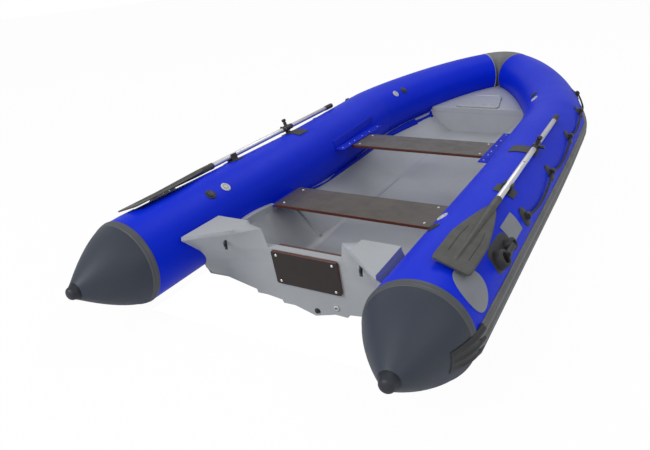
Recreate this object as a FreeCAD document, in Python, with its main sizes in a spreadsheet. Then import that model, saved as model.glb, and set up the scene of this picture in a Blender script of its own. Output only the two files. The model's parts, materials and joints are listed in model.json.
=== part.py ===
"""Rigid inflatable boat with two oars: every solid piece as its own object.

Frame: +Y to the bow, +X to starboard, +Z up, millimetres.
Origin: on the centreline at the waterline, where the tubes' end cones begin.
"""
import FreeCAD, Part
import Sketcher
import math
import os
from FreeCAD import Placement, Rotation, Vector

DIMENSIONS = {
    # side tubes: straight run, bow curve, rise of the bow
    "tube_radius": 205, "bow_radius": 187, "half_spread": 705, "tube_height": 265,
    "straight_run": 2567, "bow_reach": 4089, "bow_rise": 137, "rise_start": 1500,
    "taper_start": 2045, "patch_half_width": 140, "patch_pivot": 3850,
    "cone_length": 300, "cone_end_radius": 28, "tip_length": 23, "cone_splay": 3,
    "seam_gap": 0.4,
    # rubbing strake on the tube's outer side
    "strake_low": -24, "strake_high": 12, "strake_depth": 16,
    # glass-fibre hull
    "keel_depth": 120, "chine_half_beam": 625, "keel_rise": 290, "keel_rise_start": 1900,
    "hull_aft": 437, "hull_fore": 3930, "rim_high": 235, "rim_low": 150,
    "floor_height": -15, "floor_half_width": 290, "floor_rise_start": 2200,
    "floor_rise": 80, "floor_narrowing": 80, "liner_skin": 8,
    # transom and motor plates
    "transom_thick": 45, "notch_half_width": 190, "notch_height": 245,
    "plate_width": 354, "plate_height": 190, "plate_thick": 15,
    # bow deck and locker
    "deck_aft": 3190, "deck_fore": 3950, "deck_height": 269, "deck_slope": 3.4,
    "well_half_width": 140, "well_aft": 3270, "well_fore": 3500, "well_floor": 165,
    "lid_aft_width": 360, "lid_fore_width": 250, "lid_length": 330, "lid_thick": 12,
    # thwarts
    "seat_length": 908, "seat_depth": 278, "seat_thick": 18, "seat_corner": 12,
    "aft_seat_y": 973, "aft_seat_top": 267, "fore_seat_y": 1935, "fore_seat_top": 326,
    "bracket_thick": 6, "bracket_reach": 62,
    # oars, stowed along the tops of the tubes
    "oar_angle": 70.5, "oar_standoff": 34, "oar_pitch": 0.73, "rowlock_y": 1530,
    "shaft_radius": 14.5, "shaft_fore": 600, "shaft_aft": 1050, "grip_radius": 17,
    "socket_radius": 16.5,
    "grip_length": 95, "blade_length": 520, "blade_width": 150, "blade_thick": 7,
    "collar_radius": 20, "collar_length": 46, "pin_radius": 8, "boss_radius": 17,
    "clip_y": 930, "clip_length": 46, "clip_arm": 9, "clip_gap": 0.4,
    # small fittings
    "pad_thick": 2, "valve_radius": 29, "relief_radius": 27, "valve_height": 5,
    "handle_aft": 400, "handle_fore": 560, "handle_lift": 38, "handle_radius": 12,
    "rope_radius": 6, "holder_radius": 15, "badge_radius": 86, "drain_radius": 15,
    "eye_radius": 20, "eye_wire": 4,
}

doc = FreeCAD.newDocument("rigid_inflatable_boat")
sheet = doc.addObject("Spreadsheet::Sheet", "Dims")
for row, (alias, value) in enumerate(DIMENSIONS.items(), start=1):
    sheet.set("A%d" % row, alias)
    sheet.set("B%d" % row, str(value))
    sheet.setAlias("B%d" % row, alias)
doc.recompute()

pieces = []


def size(alias):
    """Value of one driving dimension, read from the sheet."""
    return float(sheet.get(alias))


def bind(obj, **expressions):
    """Binds properties of an object to expressions over the sheet's aliases."""
    for name, text in expressions.items():
        obj.setExpression(name, text)
    return obj


def keep(obj, label):
    """Lists an object as a finished piece under its node name."""
    obj.Label = label
    pieces.append(obj)
    return obj


def cylinder(name, radius, height, placement, sweep=None):
    """Cylinder along its own Z; sweep is the sector in degrees."""
    obj = bind(doc.addObject("Part::Cylinder", name), Radius=radius, Height=height)
    if sweep is not None:
        obj.Angle = sweep
    obj.Placement = placement
    return obj


def box(name, length, width, height, placement):
    """Box whose corner is at its own origin."""
    obj = doc.addObject("Part::Box", name)
    bind(obj, Length=length, Width=width, Height=height)
    obj.Placement = placement
    return obj


def cut(name, base, tool):
    """Base less tool."""
    obj = doc.addObject("Part::Cut", name)
    obj.Base = base
    obj.Tool = tool
    return obj


def fuse(name, shapes):
    """All shapes as one solid."""
    obj = doc.addObject("Part::MultiFuse", name)
    obj.Shapes = shapes
    return obj


def feature(name, shape):
    """Object whose shape is worked out here from the sheet's values."""
    obj = doc.addObject("Part::Feature", name)
    obj.Shape = shape
    return obj


def mirror(source, label):
    """Port twin of a starboard piece."""
    obj = doc.addObject("Part::Mirroring", label)
    obj.Source = source
    obj.Normal = (1, 0, 0)
    return keep(obj, label)


# ---------------------------------------------------------------- tube geometry
def bow_curve(turn):
    """Plan of the tube centre for turn 0 (end of the straight) to 90 degrees (stem)."""
    reach = size("bow_reach") - size("straight_run")
    x = size("half_spread") * math.cos(turn) ** 1.273
    y = size("straight_run") + reach * math.sin(turn) ** 1.471
    return x, y


def centre_height(y):
    """Height of the tube centre, which rises towards the bow."""
    start = size("rise_start")
    share = max(0.0, (y - start) / (size("bow_reach") - start))
    return size("tube_height") + size("bow_rise") * share ** 1.35


def tube_radius(y):
    """Tube radius, which tapers from amidships to the bow."""
    start = size("taper_start")
    share = min(1.0, max(0.0, (y - start) / (size("bow_reach") - start)))
    return size("tube_radius") + (size("bow_radius") - size("tube_radius")) * share


def centre_x(y):
    """Half spread of the tube centres at y, found on the bow curve by bisection."""
    if y <= size("straight_run"):
        return size("half_spread")
    low, high = 0.0, math.pi / 2
    for _ in range(40):
        middle = (low + high) / 2
        if bow_curve(middle)[1] < y:
            low = middle
        else:
            high = middle
    return bow_curve(low)[0]


PATCH_TURN = math.acos((size("patch_half_width") / size("half_spread")) ** (1 / 1.273))


def tube_stations():
    """(x, y, z, radius, heading) along the curved part of the starboard tube."""
    stations = []
    for y in (size("rise_start"), 1650, 1800, 2100, 2350):
        stations.append((size("half_spread"), y, 0))
    for share in (0.03, 0.14, 0.27, 0.40, 0.53, 0.66, 0.79, 0.90, 1.0):
        turn = share * PATCH_TURN
        x, y = bow_curve(turn)
        ahead = bow_curve(turn + 1e-3)
        back = bow_curve(turn - 1e-3)
        heading = math.degrees(math.atan2(back[0] - ahead[0], ahead[1] - back[1]))
        if share == 1.0:
            heading = 90 - math.degrees(math.atan2(x, y - size("patch_pivot")))
        stations.append((x, y, heading))
    return [(x, y, centre_height(y), tube_radius(y), heading) for x, y, heading in stations]


def patch_stations():
    """Stations round the stem, fanned about a pivot so that the inner side stays open."""
    x, y = bow_curve(PATCH_TURN)
    pivot = size("patch_pivot")
    half = math.degrees(math.atan2(x, y - pivot))
    edge = math.hypot(x, y - pivot)
    stem = size("bow_reach") - pivot
    stations = []
    for share in (1.0, 0.6, 0.0, -0.6, -1.0):
        reach = stem + (edge - stem) * abs(share) ** 1.5
        angle = math.radians(half * share)
        px = reach * math.sin(angle)
        py = pivot + reach * math.cos(angle)
        stations.append((px, py, centre_height(py), tube_radius(py), 90 - half * share))
    return stations


def station_frame(x, y, z, heading):
    """Placement whose X is outboard, Y is up and whose Z looks back along the tube."""
    outboard = Rotation(Vector(0, 0, 1), heading)
    return Placement(Vector(x, y, z), outboard.multiply(Rotation(Vector(1, 0, 0), 90)))


def circle_wire(station, extra=0.0):
    """Circle of the tube at a station, grown by extra."""
    x, y, z, radius, heading = station
    ring = Part.makeCircle(radius + extra)
    ring.Placement = station_frame(x, y, z, heading)
    return Part.Wire([ring])


def band_wire(station, low, high, inner, outer):
    """Ring sector from angle low to high, radii grown by inner and outer."""
    x, y, z, radius, heading = station

    def point(grow, angle):
        turn = math.radians(angle)
        reach = radius + grow
        return Vector(reach * math.cos(turn), reach * math.sin(turn), 0)

    middle = (low + high) / 2
    edges = [
        Part.Arc(point(inner, low), point(inner, middle), point(inner, high)).toShape(),
        Part.makeLine(point(inner, high), point(outer, high)),
        Part.Arc(point(outer, high), point(outer, middle), point(outer, low)).toShape(),
        Part.makeLine(point(outer, low), point(inner, low)),
    ]
    wire = Part.Wire(edges)
    wire.Placement = station_frame(x, y, z, heading)
    return wire


def heading_at(y):
    """Turn of the tube's outboard side from +X at centre station y, in degrees."""
    return math.degrees(math.atan2(centre_x(y - 2) - centre_x(y + 2), 4))


def centre_station(y, angle):
    """Centre station whose surface point at that angle lies at y, found by bisection."""
    low, high = y - 300, y + 300
    for _ in range(40):
        middle = (low + high) / 2
        across = tube_radius(middle) * math.cos(math.radians(angle))
        if middle + across * math.sin(math.radians(heading_at(middle))) < y:
            low = middle
        else:
            high = middle
    return low


def tube_frame(y, angle, lift=0.0):
    """Placement on the starboard tube at y and an angle above outboard, lifted off it.

    Its Z is the surface normal and its Y runs forward along the tube.
    """
    station = centre_station(y, angle)
    reach = tube_radius(station) + lift
    outboard = Rotation(Vector(0, 0, 1), heading_at(station))
    normal = outboard.multiply(Rotation(Vector(0, 1, 0), 90 - angle))
    centre = Vector(centre_x(station), station, centre_height(station))
    return Placement(centre + normal.multVec(Vector(0, 0, reach)), normal)


def on_tube(y, angle, lift=0.0):
    """Point on the starboard tube at y, at an angle above outboard, lifted off it."""
    return tube_frame(y, angle, lift).Base


# ---------------------------------------------------------------- inflated tubes
stations = tube_stations()
cone_frame = station_frame(size("half_spread"), 0, size("tube_height"), size("cone_splay"))
behind_ring = Part.makeBox(1200, 1200, 300, Vector(-600, -600, 0))
behind_ring.Placement = cone_frame


def whole_run(wire_at):
    """Straight run from the cone's ring plus the bow curve, as one solid."""
    x, y, z, radius, heading = stations[0]
    straight = Part.makeLoft([wire_at((x, -60, z, radius, 0)), wire_at(stations[0])], True, True)
    curved = Part.makeLoft([wire_at(station) for station in stations], True)
    return straight.cut(behind_ring).fuse(curved)


tube_starboard = keep(feature("TubeStarboard", whole_run(circle_wire)), "tube_starboard")
tube_port = mirror(tube_starboard, "tube_port")
patch_loft = Part.makeLoft([circle_wire(s) for s in patch_stations()], True)
bow_patch = keep(feature("BowPatch", patch_loft), "bow_patch")

gap = size("seam_gap")
clear_starboard = whole_run(lambda station: circle_wire(station, gap))
clear_port = clear_starboard.mirror(Vector(0, 0, 0), Vector(1, 0, 0))
clear_patch = Part.makeLoft([circle_wire(s, gap) for s in patch_stations()], True)
TUBES_CLEAR = [clear_starboard, clear_port, clear_patch]

# tube end cones: slightly full cones with a moulded cap on each tip
ring_radius = size("tube_radius")
cone_length = size("cone_length")
end_radius = size("cone_end_radius")
cone_curve = Part.BSplineCurve()
cone_profile = []
for share in (0.0, 0.12, 0.3, 0.5, 0.75, 1.0):
    reach = end_radius + (ring_radius - end_radius) * (1 - share ** 1.25)
    cone_profile.append(Vector(reach, 0, share * cone_length))
cone_curve.interpolate(cone_profile)
cone_wire = Part.Wire([
    Part.makeLine(Vector(0, 0, 0), Vector(ring_radius, 0, 0)),
    cone_curve.toShape(),
    Part.makeLine(Vector(end_radius, 0, cone_length), Vector(0, 0, cone_length)),
    Part.makeLine(Vector(0, 0, cone_length), Vector(0, 0, 0)),
])
cone_solid = Part.Face(cone_wire).revolve(Vector(0, 0, 0), Vector(0, 0, 1), 360)
cone_starboard = feature("ConeStarboard", cone_solid)
cone_starboard.Placement = cone_frame
mirror(keep(cone_starboard, "cone_starboard"), "cone_port")

tip_length = size("tip_length")
tip_flat = 0.3 * end_radius
tip_top = cone_length + tip_length
tip_arc = Part.Arc(
    Vector(end_radius, 0, cone_length),
    Vector(0.78 * end_radius, 0, cone_length + 0.66 * tip_length),
    Vector(tip_flat, 0, tip_top),
)
tip_wire = Part.Wire([
    Part.makeLine(Vector(0, 0, cone_length), Vector(end_radius, 0, cone_length)),
    tip_arc.toShape(),
    Part.makeLine(Vector(tip_flat, 0, tip_top), Vector(0, 0, tip_top)),
    Part.makeLine(Vector(0, 0, tip_top), Vector(0, 0, cone_length)),
])
tip_solid = Part.Face(tip_wire).revolve(Vector(0, 0, 0), Vector(0, 0, 1), 360)
tip_starboard = feature("TipStarboard", tip_solid)
tip_starboard.Placement = cone_frame
mirror(keep(tip_starboard, "cone_tip_starboard"), "cone_tip_port")

# rubbing strake: a band bonded round the outer side from the cone to the stem
def strake_wire(station):
    """Section of the strake at a station."""
    return band_wire(station, size("strake_low"), size("strake_high"), gap, size("strake_depth"))


strake_bow = [strake_wire(s) for s in patch_stations() if s[0] >= -1e-6]
strake_solid = whole_run(strake_wire).fuse(Part.makeLoft(strake_bow, True)).cut(TUBES_CLEAR)
strake = feature("StrakeStarboard", strake_solid)
mirror(keep(strake, "rub_strake_starboard"), "rub_strake_port")


# ---------------------------------------------------------------- hull and liner
HULL_STATIONS = (437, 1000, 1600, 2200, 2600, 3000, 3350, 3650, 3930)


def keel_height(y):
    """Keel line: straight aft, then rising to the forefoot."""
    share = max(0.0, (y - size("keel_rise_start")) / 2100)
    return -size("keel_depth") + size("keel_rise") * share ** 3


def rim_height(y):
    """Upper edge of the moulding against the tubes: high aft, low amidships."""
    share = min(1.0, max(0.0, (y - 850) / 750))
    ease = share * share * (3 - 2 * share)
    rise = centre_height(y) - size("tube_height")
    return size("rim_high") + (size("rim_low") - size("rim_high")) * ease + rise


def hull_half_section(y):
    """V bottom with two spray strakes, chine and side up into the tube."""
    chine = (size("chine_half_beam"), 2.0)
    bottom = [(0, -120), (115, -83), (181, -85), (186, -66), (271, -54), (331, -56), (334, -34),
              (505, 7), chine]
    chine_height = centre_height(y) - tube_radius(y) - 58
    lift = max(0.02, (chine_height - keel_height(y)) / (chine[1] + size("keel_depth")))
    spread = centre_x(y) / size("half_spread")
    points = [(px * spread, keel_height(y) + (pz + 120) * lift) for px, pz in bottom]
    top = rim_height(y)
    points.append((centre_x(y) - 20 * spread, centre_height(y) - tube_radius(y) + 30))
    points.append((centre_x(y) - 20 * spread, top))
    return points


def section_wire(y, half):
    """Closed wire at y from the points of its starboard half, keel first."""
    ring = [Vector(px, y, pz) for px, pz in half]
    ring += [Vector(-px, y, pz) for px, pz in reversed(half) if px > 1e-6]
    return Part.makePolygon(ring + ring[:1])


def cockpit_half(y, skin, top):
    """Cockpit hollow grown by skin: floor, sloping wall, open top."""
    rim = rim_height(y)
    drop = centre_height(y) - rim
    radius = tube_radius(y)
    inner = centre_x(y) - math.sqrt(max(1.0, radius ** 2 - drop ** 2)) - 22
    share = max(0.0, (y - size("floor_rise_start")) / (size("deck_aft") - size("floor_rise_start")))
    floor = size("floor_height") + size("floor_rise") * share ** 1.3 - skin
    width = size("floor_half_width") - size("floor_narrowing") * share
    return [(0, floor), (width + skin, floor), (inner + skin, rim - 30), (inner + skin, top)]


hull_loft = Part.makeLoft([section_wire(y, hull_half_section(y)) for y in HULL_STATIONS], True)
cockpit_aft = size("hull_aft") + 12
COCKPIT_STATIONS = (cockpit_aft, 1000, 1600, 2200, 2600, 2900, size("deck_aft"))


def cockpit_loft(skin):
    """Cockpit hollow as a solid, grown by skin on floor, walls and ends."""
    ends = list(COCKPIT_STATIONS)
    ends[-1] = ends[-1] + skin
    ends[0] = ends[0] - skin
    wires = [section_wire(y, cockpit_half(y, skin, 600)) for y in ends]
    return Part.makeLoft(wires, True)


hollow = cockpit_loft(0)
hollow_grown = cockpit_loft(size("liner_skin"))
hull_body = hull_loft.cut(TUBES_CLEAR)
keep(feature("HullShell", hull_body.cut(hollow_grown)), "hull_shell")
keep(feature("CockpitLiner", hull_body.common(hollow_grown).cut(hollow)), "cockpit_liner")


# ---------------------------------------------------------------- transom
def transom_aft(z):
    """Aft face of the transom at height z: it leans aft towards its top."""
    return 437 - 0.1615 * z


NOTCH = size("notch_half_width")
SLAB_TOP = size("notch_height")
slab_half = [(0, -120), (115, -83), (181, -85), (186, -66), (271, -54), (331, -56), (334, -34),
             (505, 7), (612, 2), (612, 60), (560, 140), (NOTCH + 70, SLAB_TOP)]
slab_wires = []
for front in (0, size("transom_thick")):
    half = [Vector(px, transom_aft(pz) + front, pz) for px, pz in slab_half]
    twin = [Vector(-p.x, p.y, p.z) for p in reversed(half) if p.x > 1e-6]
    slab_wires.append(Part.makePolygon(half + twin + half[:1]))
slab = Part.makeLoft(slab_wires, True, True)
slab_room = Part.makeBox(1400, 90, 500, Vector(-700, size("hull_aft") - 90, -150))

# corner knees: sections at six heights, corners in the order
# notch, fold, recess, tube side aft, tube side forward, cockpit side
KNEE_SECTIONS = (
    (5, ((205, 0), (375, 0), (490, 3), (606, 6), (606, 8), (250, 8))),
    (80, ((205, 0), (365, -10), (470, -10), (585, -56), (590, 13), (250, 13))),
    (154, ((205, 0), (350, -27), (442, -34), (540, -91), (545, 25), (250, 25))),
    (245, ((196, 0), (330, -67), (416, -102), (502, -142), (508, 45), (250, 45))),
    (349, ((212, 2), (306, -94), (396, -168), (486, -241), (480, 29), (296, 30))),
    (368, ((300, -60), (306, -92), (395, -165), (484, -238), (480, 28), (298, 29))),
)
knee_wires = []
for height, corners in KNEE_SECTIONS:
    ring = [Vector(px, transom_aft(height) + depth, height) for px, depth in corners]
    knee_wires.append(Part.makePolygon(ring + ring[:1]))
knee = Part.makeLoft(knee_wires, True, True)
knee_port = knee.mirror(Vector(0, 0, 0), Vector(1, 0, 0))
moulding = slab.fuse([knee, knee_port]).removeSplitter()
moulding = moulding.cut(TUBES_CLEAR + [Part.makeBox(1400, 400, 600, Vector(-700, 449, -200))])
hull_here = next(p for p in pieces if p.Label == "hull_shell")
liner_here = next(p for p in pieces if p.Label == "cockpit_liner")
astern = Part.Face(Part.makePolygon([
    Vector(-700, transom_aft(-200), -200), Vector(-700, transom_aft(400), 400),
    Vector(-700, 200, 400), Vector(-700, 200, -200), Vector(-700, transom_aft(-200), -200),
])).extrude(Vector(1400, 0, 0))
hull_here.Shape = hull_here.Shape.cut([moulding, astern])
liner_here.Shape = liner_here.Shape.cut([moulding, astern])
keep(feature("Transom", moulding), "transom_moulding")


def aft_face(x, z):
    """Y of the transom moulding's aft face at (x, z)."""
    ray = Part.makeLine(Vector(x, -200, z), Vector(x, 440, z))
    return min(v.Y for v in moulding.common(ray).Vertexes)


def plank(name, long_side, short_side, thickness, corner, placement):
    """Flat board as a body: rectangle sketch, pad and rounded corners."""
    body = doc.addObject("PartDesign::Body", name)
    sketch = body.newObject("Sketcher::SketchObject", name + "Outline")
    plane = next(f for f in body.Origin.OriginFeatures if f.Role == "XY_Plane")
    sketch.AttachmentSupport = (plane, [""])
    sketch.MapMode = "FlatFace"
    half_x, half_y = size(long_side) / 2, size(short_side) / 2
    corners = [(-half_x, -half_y), (half_x, -half_y), (half_x, half_y), (-half_x, half_y)]
    for index, (px, py) in enumerate(corners):
        nx, ny = corners[(index + 1) % 4]
        sketch.addGeometry(Part.LineSegment(Vector(px, py, 0), Vector(nx, ny, 0)), False)
    for index in range(4):
        sketch.addConstraint(Sketcher.Constraint("Coincident", index, 2, (index + 1) % 4, 1))
    for index, kind in enumerate(("Horizontal", "Vertical", "Horizontal", "Vertical")):
        sketch.addConstraint(Sketcher.Constraint(kind, index))
    sketch.addConstraint(Sketcher.Constraint("Symmetric", 0, 1, 1, 2, -1, 1))
    width = sketch.addConstraint(Sketcher.Constraint("DistanceX", 0, 1, 0, 2, 2 * half_x))
    depth = sketch.addConstraint(Sketcher.Constraint("DistanceY", 1, 1, 1, 2, 2 * half_y))
    sketch.setExpression("Constraints[%d]" % width, "Dims." + long_side)
    sketch.setExpression("Constraints[%d]" % depth, "Dims." + short_side)
    pad = body.newObject("PartDesign::Pad", name + "Pad")
    pad.Profile = sketch
    pad.setExpression("Length", "Dims." + thickness)
    doc.recompute()
    upright = []
    for index, edge in enumerate(pad.Shape.Edges, start=1):
        ends = [v.Point for v in edge.Vertexes]
        if abs(ends[0].z - ends[1].z) > 1e-3:
            upright.append("Edge%d" % index)
    fillet = body.newObject("PartDesign::Fillet", name + "Corners")
    fillet.Base = (pad, upright)
    fillet.setExpression("Radius", "Dims." + corner)
    body.Tip = fillet
    body.Placement = placement
    return body


# motor clamp plates, one on each face of the transom
lean = math.degrees(math.atan(0.1615))
outer_place = Placement(Vector(0, transom_aft(148) - gap, 148), Rotation(Vector(1, 0, 0), 90 + lean))
keep(plank("PlateOuter", "plate_width", "plate_height", "plate_thick", "seat_corner", outer_place),
     "motor_plate_outer")
inner_y = 449 + gap + size("plate_thick")
inner_place = Placement(Vector(0, inner_y, 148), Rotation(Vector(1, 0, 0), 90))
keep(plank("PlateInner", "plate_width", "plate_height", "plate_thick", "seat_corner", inner_place),
     "motor_plate_inner")

# ---------------------------------------------------------------- bow deck and locker
slope = math.tan(math.radians(size("deck_slope")))


def deck_top(y):
    """Height of the bow deck, which rises forward."""
    return size("deck_height") + slope * (y - size("deck_aft"))


deck_wires = []
for y in (size("deck_aft"), 3400, 3600, 3800, size("deck_fore")):
    side = centre_x(y)
    low = min(rim_height(y) + 0.0, deck_top(y) - 20)
    corners = [(-side, low), (side, low), (side, deck_top(y)), (-side, deck_top(y))]
    ring = [Vector(px, y, pz) for px, pz in corners]
    deck_wires.append(Part.makePolygon(ring + ring[:1]))
deck = Part.makeLoft(deck_wires, True, True).cut(TUBES_CLEAR)
well = Part.makeBox(
    2 * size("well_half_width"), size("well_fore") - size("well_aft"), 300,
    Vector(-size("well_half_width"), size("well_aft"), size("well_floor")),
)
deck = deck.cut([well, hull_here.Shape, liner_here.Shape])
hull_here.Shape = hull_here.Shape.cut(well)
keep(feature("BowDeck", max(deck.Solids, key=lambda solid: solid.Volume)), "bow_locker_deck")

lid_fore = size("well_fore") + 40
half_aft = size("lid_aft_width") / 2
half_fore = size("lid_fore_width") / 2
lid_outline = [Vector(-half_aft, -size("lid_length"), 0), Vector(half_aft, -size("lid_length"), 0),
               Vector(half_fore, 0, 0), Vector(-half_fore, 0, 0)]
lid_plate = Part.Face(Part.makePolygon(lid_outline + lid_outline[:1]))
lid_solid = lid_plate.extrude(Vector(0, 0, size("lid_thick")))
upright = [e for e in lid_solid.Edges if abs(e.Vertexes[0].Z - e.Vertexes[-1].Z) > 1]
lid = feature("LockerLid", lid_solid.makeFillet(28, upright))
lid.Placement = Placement(Vector(0, lid_fore, deck_top(lid_fore) + 0.5),
                          Rotation(Vector(1, 0, 0), size("deck_slope")))
keep(lid, "locker_lid")

# ---------------------------------------------------------------- thwarts and brackets
for name, label, where, top in (("SeatAft", "seat_aft", "aft_seat_y", "aft_seat_top"),
                                ("SeatFore", "seat_forward", "fore_seat_y", "fore_seat_top")):
    place = Placement(Vector(0, size(where), size(top) - size("seat_thick")), Rotation())
    keep(plank(name, "seat_length", "seat_depth", "seat_thick", "seat_corner", place), label)


def bracket(name, label, middle, length, low):
    """Bonded bracket: a flat tongue from the tube's inner side to the seat's end."""
    inner = size("seat_length") / 2 - 12
    tongue = Part.makeBox(140, length, size("bracket_thick"), Vector(inner, middle - length / 2, low))
    return keep(feature(name, tongue.cut([TUBES_CLEAR[0], hull_here.Shape, liner_here.Shape])), label)


aft_low = size("aft_seat_top") - size("seat_thick") - size("bracket_thick") - gap
fore_high = size("fore_seat_top") + gap
mirror(bracket("BracketAft", "seat_bracket_aft_starboard", size("aft_seat_y"), 250, aft_low),
       "seat_bracket_aft_port")
mirror(bracket("BracketFore", "seat_bracket_forward_starboard", 1976, 628, fore_high),
       "seat_bracket_forward_port")


# ---------------------------------------------------------------- pads on the tubes
def tube_pad(name, y_low, y_high, low, high, thickness):
    """Sheet bonded to the straight part of the tube between two angles."""
    frame = Placement(
        Vector(size("half_spread"), y_high, size("tube_height")),
        Rotation(Vector(1, 0, 0), 90).multiply(Rotation(Vector(0, 0, 1), low)),
    )
    length = "%g" % (y_high - y_low)
    skin = cylinder(name + "Skin", "Dims.tube_radius + Dims.seam_gap + " + thickness, length, frame,
                    high - low)
    core = cylinder(name + "Core", "Dims.tube_radius + Dims.seam_gap", length, frame)
    return cut(name, skin, core)


mirror(keep(tube_pad("SidePlate", 590, 760, 27, 52, "Dims.pad_thick"), "side_plate_starboard"),
       "side_plate_port")
badge_sheet = tube_pad("BadgeSheet", 30, 230, 8, 76, "Dims.pad_thick")
badge_punch = cylinder("BadgePunch", "Dims.badge_radius", "200", tube_frame(132, 41.5, -60))
badge = doc.addObject("Part::Common", "Badge")
badge.Base = badge_sheet
badge.Tool = badge_punch
mirror(keep(badge, "side_badge_starboard"), "side_badge_port")

# ---------------------------------------------------------------- oars
oar_angle = size("oar_angle")
oar_base = tube_frame(size("rowlock_y"), oar_angle, size("oar_standoff"))
oar_frame = oar_base.multiply(Placement(Vector(0, 0, 0), Rotation(Vector(1, 0, 0), size("oar_pitch"))))


def oar_place(x, y, z, rotation=None):
    """Placement in the oar's frame: Y along the shaft to the grip, Z off the tube."""
    return oar_frame.multiply(Placement(Vector(x, y, z), rotation or Rotation()))


ALONG = Rotation(Vector(1, 0, 0), -90)
shaft = cylinder("ShaftStarboard", "Dims.shaft_radius", "Dims.shaft_aft + Dims.shaft_fore",
                 oar_place(0, -size("shaft_aft"), 0, ALONG))
mirror(keep(shaft, "oar_shaft_starboard"), "oar_shaft_port")
grip_solid = cylinder("GripOuter", "Dims.grip_radius", "Dims.grip_length",
                      oar_place(0, size("shaft_fore") - size("grip_length") + 20, 0, ALONG))
grip_bore = cylinder("GripBore", "Dims.shaft_radius", "Dims.grip_length - 20",
                     oar_place(0, size("shaft_fore") - size("grip_length") + 20, 0, ALONG))
mirror(keep(cut("GripStarboard", grip_solid, grip_bore), "oar_grip_starboard"), "oar_grip_port")

# blade: flat plate with swept shoulders, a socket on the shaft and a spine down its middle
half_blade = size("blade_width") / 2
neck_y = -810.0
tip_y = neck_y - size("blade_length") - 80
outline = [(-15, neck_y), (15, neck_y), (30, neck_y - 70), (half_blade * 0.93, neck_y - 300),
           (half_blade, neck_y - 380), (half_blade - 4, tip_y + 12), (0, tip_y),
           (-half_blade + 4, tip_y + 12), (-half_blade, neck_y - 380),
           (-half_blade * 0.93, neck_y - 300), (-30, neck_y - 70)]
plate = Part.Face(Part.makePolygon([Vector(px, py, 0) for px, py in outline + outline[:1]]))
blade_plate = plate.extrude(Vector(0, 0, size("blade_thick")))
blade_plate.translate(Vector(0, 0, -size("blade_thick") / 2))
socket = Part.makeCylinder(size("socket_radius"), 200, Vector(0, neck_y - 160, 0), Vector(0, 1, 0))
spine = Part.makeCone(size("socket_radius"), 7, 330, Vector(0, neck_y - 160, 0), Vector(0, -1, 0))
shaft_core = Part.makeCylinder(size("shaft_radius"), 1000, Vector(0, -size("shaft_aft"), 0),
                               Vector(0, 1, 0))
blade_solid = blade_plate.fuse([socket, spine]).cut(shaft_core)
blade = feature("BladeStarboard", max(blade_solid.Solids, key=lambda solid: solid.Volume))
blade.Placement = oar_frame
mirror(keep(blade, "oar_blade_starboard"), "oar_blade_port")

# rowlock: bonded pad with a socket, and the collar on the shaft with its pin and knob
lift = size("oar_standoff")
collar = Part.makeCylinder(size("collar_radius"), size("collar_length"),
                           Vector(0, -size("collar_length") / 2, 0), Vector(0, 1, 0))
pin = Part.makeCylinder(size("pin_radius"), 26, Vector(0, 0, -lift + 3), Vector(0, 0, 1))
knob = Part.makeCylinder(11, 22, Vector(0, 0, size("collar_radius") - 2), Vector(0, 0, 1))
horn = Part.makeCylinder(9, 34, Vector(12, 0, 4), Vector(1, 0, 0.25))
swivel_solid = collar.fuse([pin, knob, horn]).cut(
    Part.makeCylinder(size("shaft_radius"), 200, Vector(0, -100, 0), Vector(0, 1, 0)))
swivel = feature("SwivelStarboard", max(swivel_solid.Solids, key=lambda solid: solid.Volume))
swivel.Placement = oar_frame
mirror(keep(swivel, "rowlock_swivel_starboard"), "rowlock_swivel_port")

row_pad = tube_pad("RowlockPad", 1475, 1585, 64, 104, "4")
boss = cylinder("RowlockBoss", "Dims.boss_radius", "Dims.oar_standoff - Dims.collar_radius + 3",
                oar_place(0, 0, -lift - 4))
socket_hole = cylinder("RowlockSocket", "Dims.pin_radius + 0.1", "60", oar_place(0, 0, -lift - 8))
row_core = feature("RowlockCore", clear_starboard)
row_sum = fuse("RowlockSum", [row_pad, boss])
row_open = cut("RowlockOpen", row_sum, socket_hole)
mirror(keep(cut("RowlockStarboard", row_open, row_core), "rowlock_base_starboard"),
       "rowlock_base_port")

# oar clip: rubber pad with an arm on each side of the shaft
clip_frame = tube_frame(size("clip_y"), oar_angle, 0)
clip_pad = tube_pad("ClipPad", size("clip_y") - 45, size("clip_y") + 45, oar_angle - 14,
                    oar_angle + 14, "3")
arm_reach = size("shaft_radius") + size("clip_gap")
clip_parts = [clip_pad]
for name, side in (("ClipArmOut", 1), ("ClipArmIn", -1)):
    start = arm_reach if side > 0 else -arm_reach - size("clip_arm")
    place = clip_frame.multiply(Placement(Vector(start, -size("clip_length") / 2, -6), Rotation()))
    clip_parts.append(box(name, "Dims.clip_arm", "Dims.clip_length", "44", place))
clip_core = cylinder("ClipCore", "Dims.tube_radius + Dims.seam_gap", "300",
                     Placement(Vector(size("half_spread"), 1080, size("tube_height")),
                               Rotation(Vector(1, 0, 0), 90)))
clip_sum = fuse("ClipSum", clip_parts)
mirror(keep(cut("ClipStarboard", clip_sum, clip_core), "oar_clip_starboard"), "oar_clip_port")


# ---------------------------------------------------------------- valves
def tube_core(y, angle, length):
    """Cylinder of the tube's clear radius about its axis, for seating a fitting at y and angle."""
    y = centre_station(y, angle)
    tangent_x = (centre_x(y + 5) - centre_x(y - 5)) / 10
    tangent_z = (centre_height(y + 5) - centre_height(y - 5)) / 10
    axis = Vector(tangent_x, 1, tangent_z)
    axis.normalize()
    start = Vector(centre_x(y), y, centre_height(y)) - axis * (length / 2)
    return Part.makeCylinder(tube_radius(y) + gap, length, start, axis)


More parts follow.
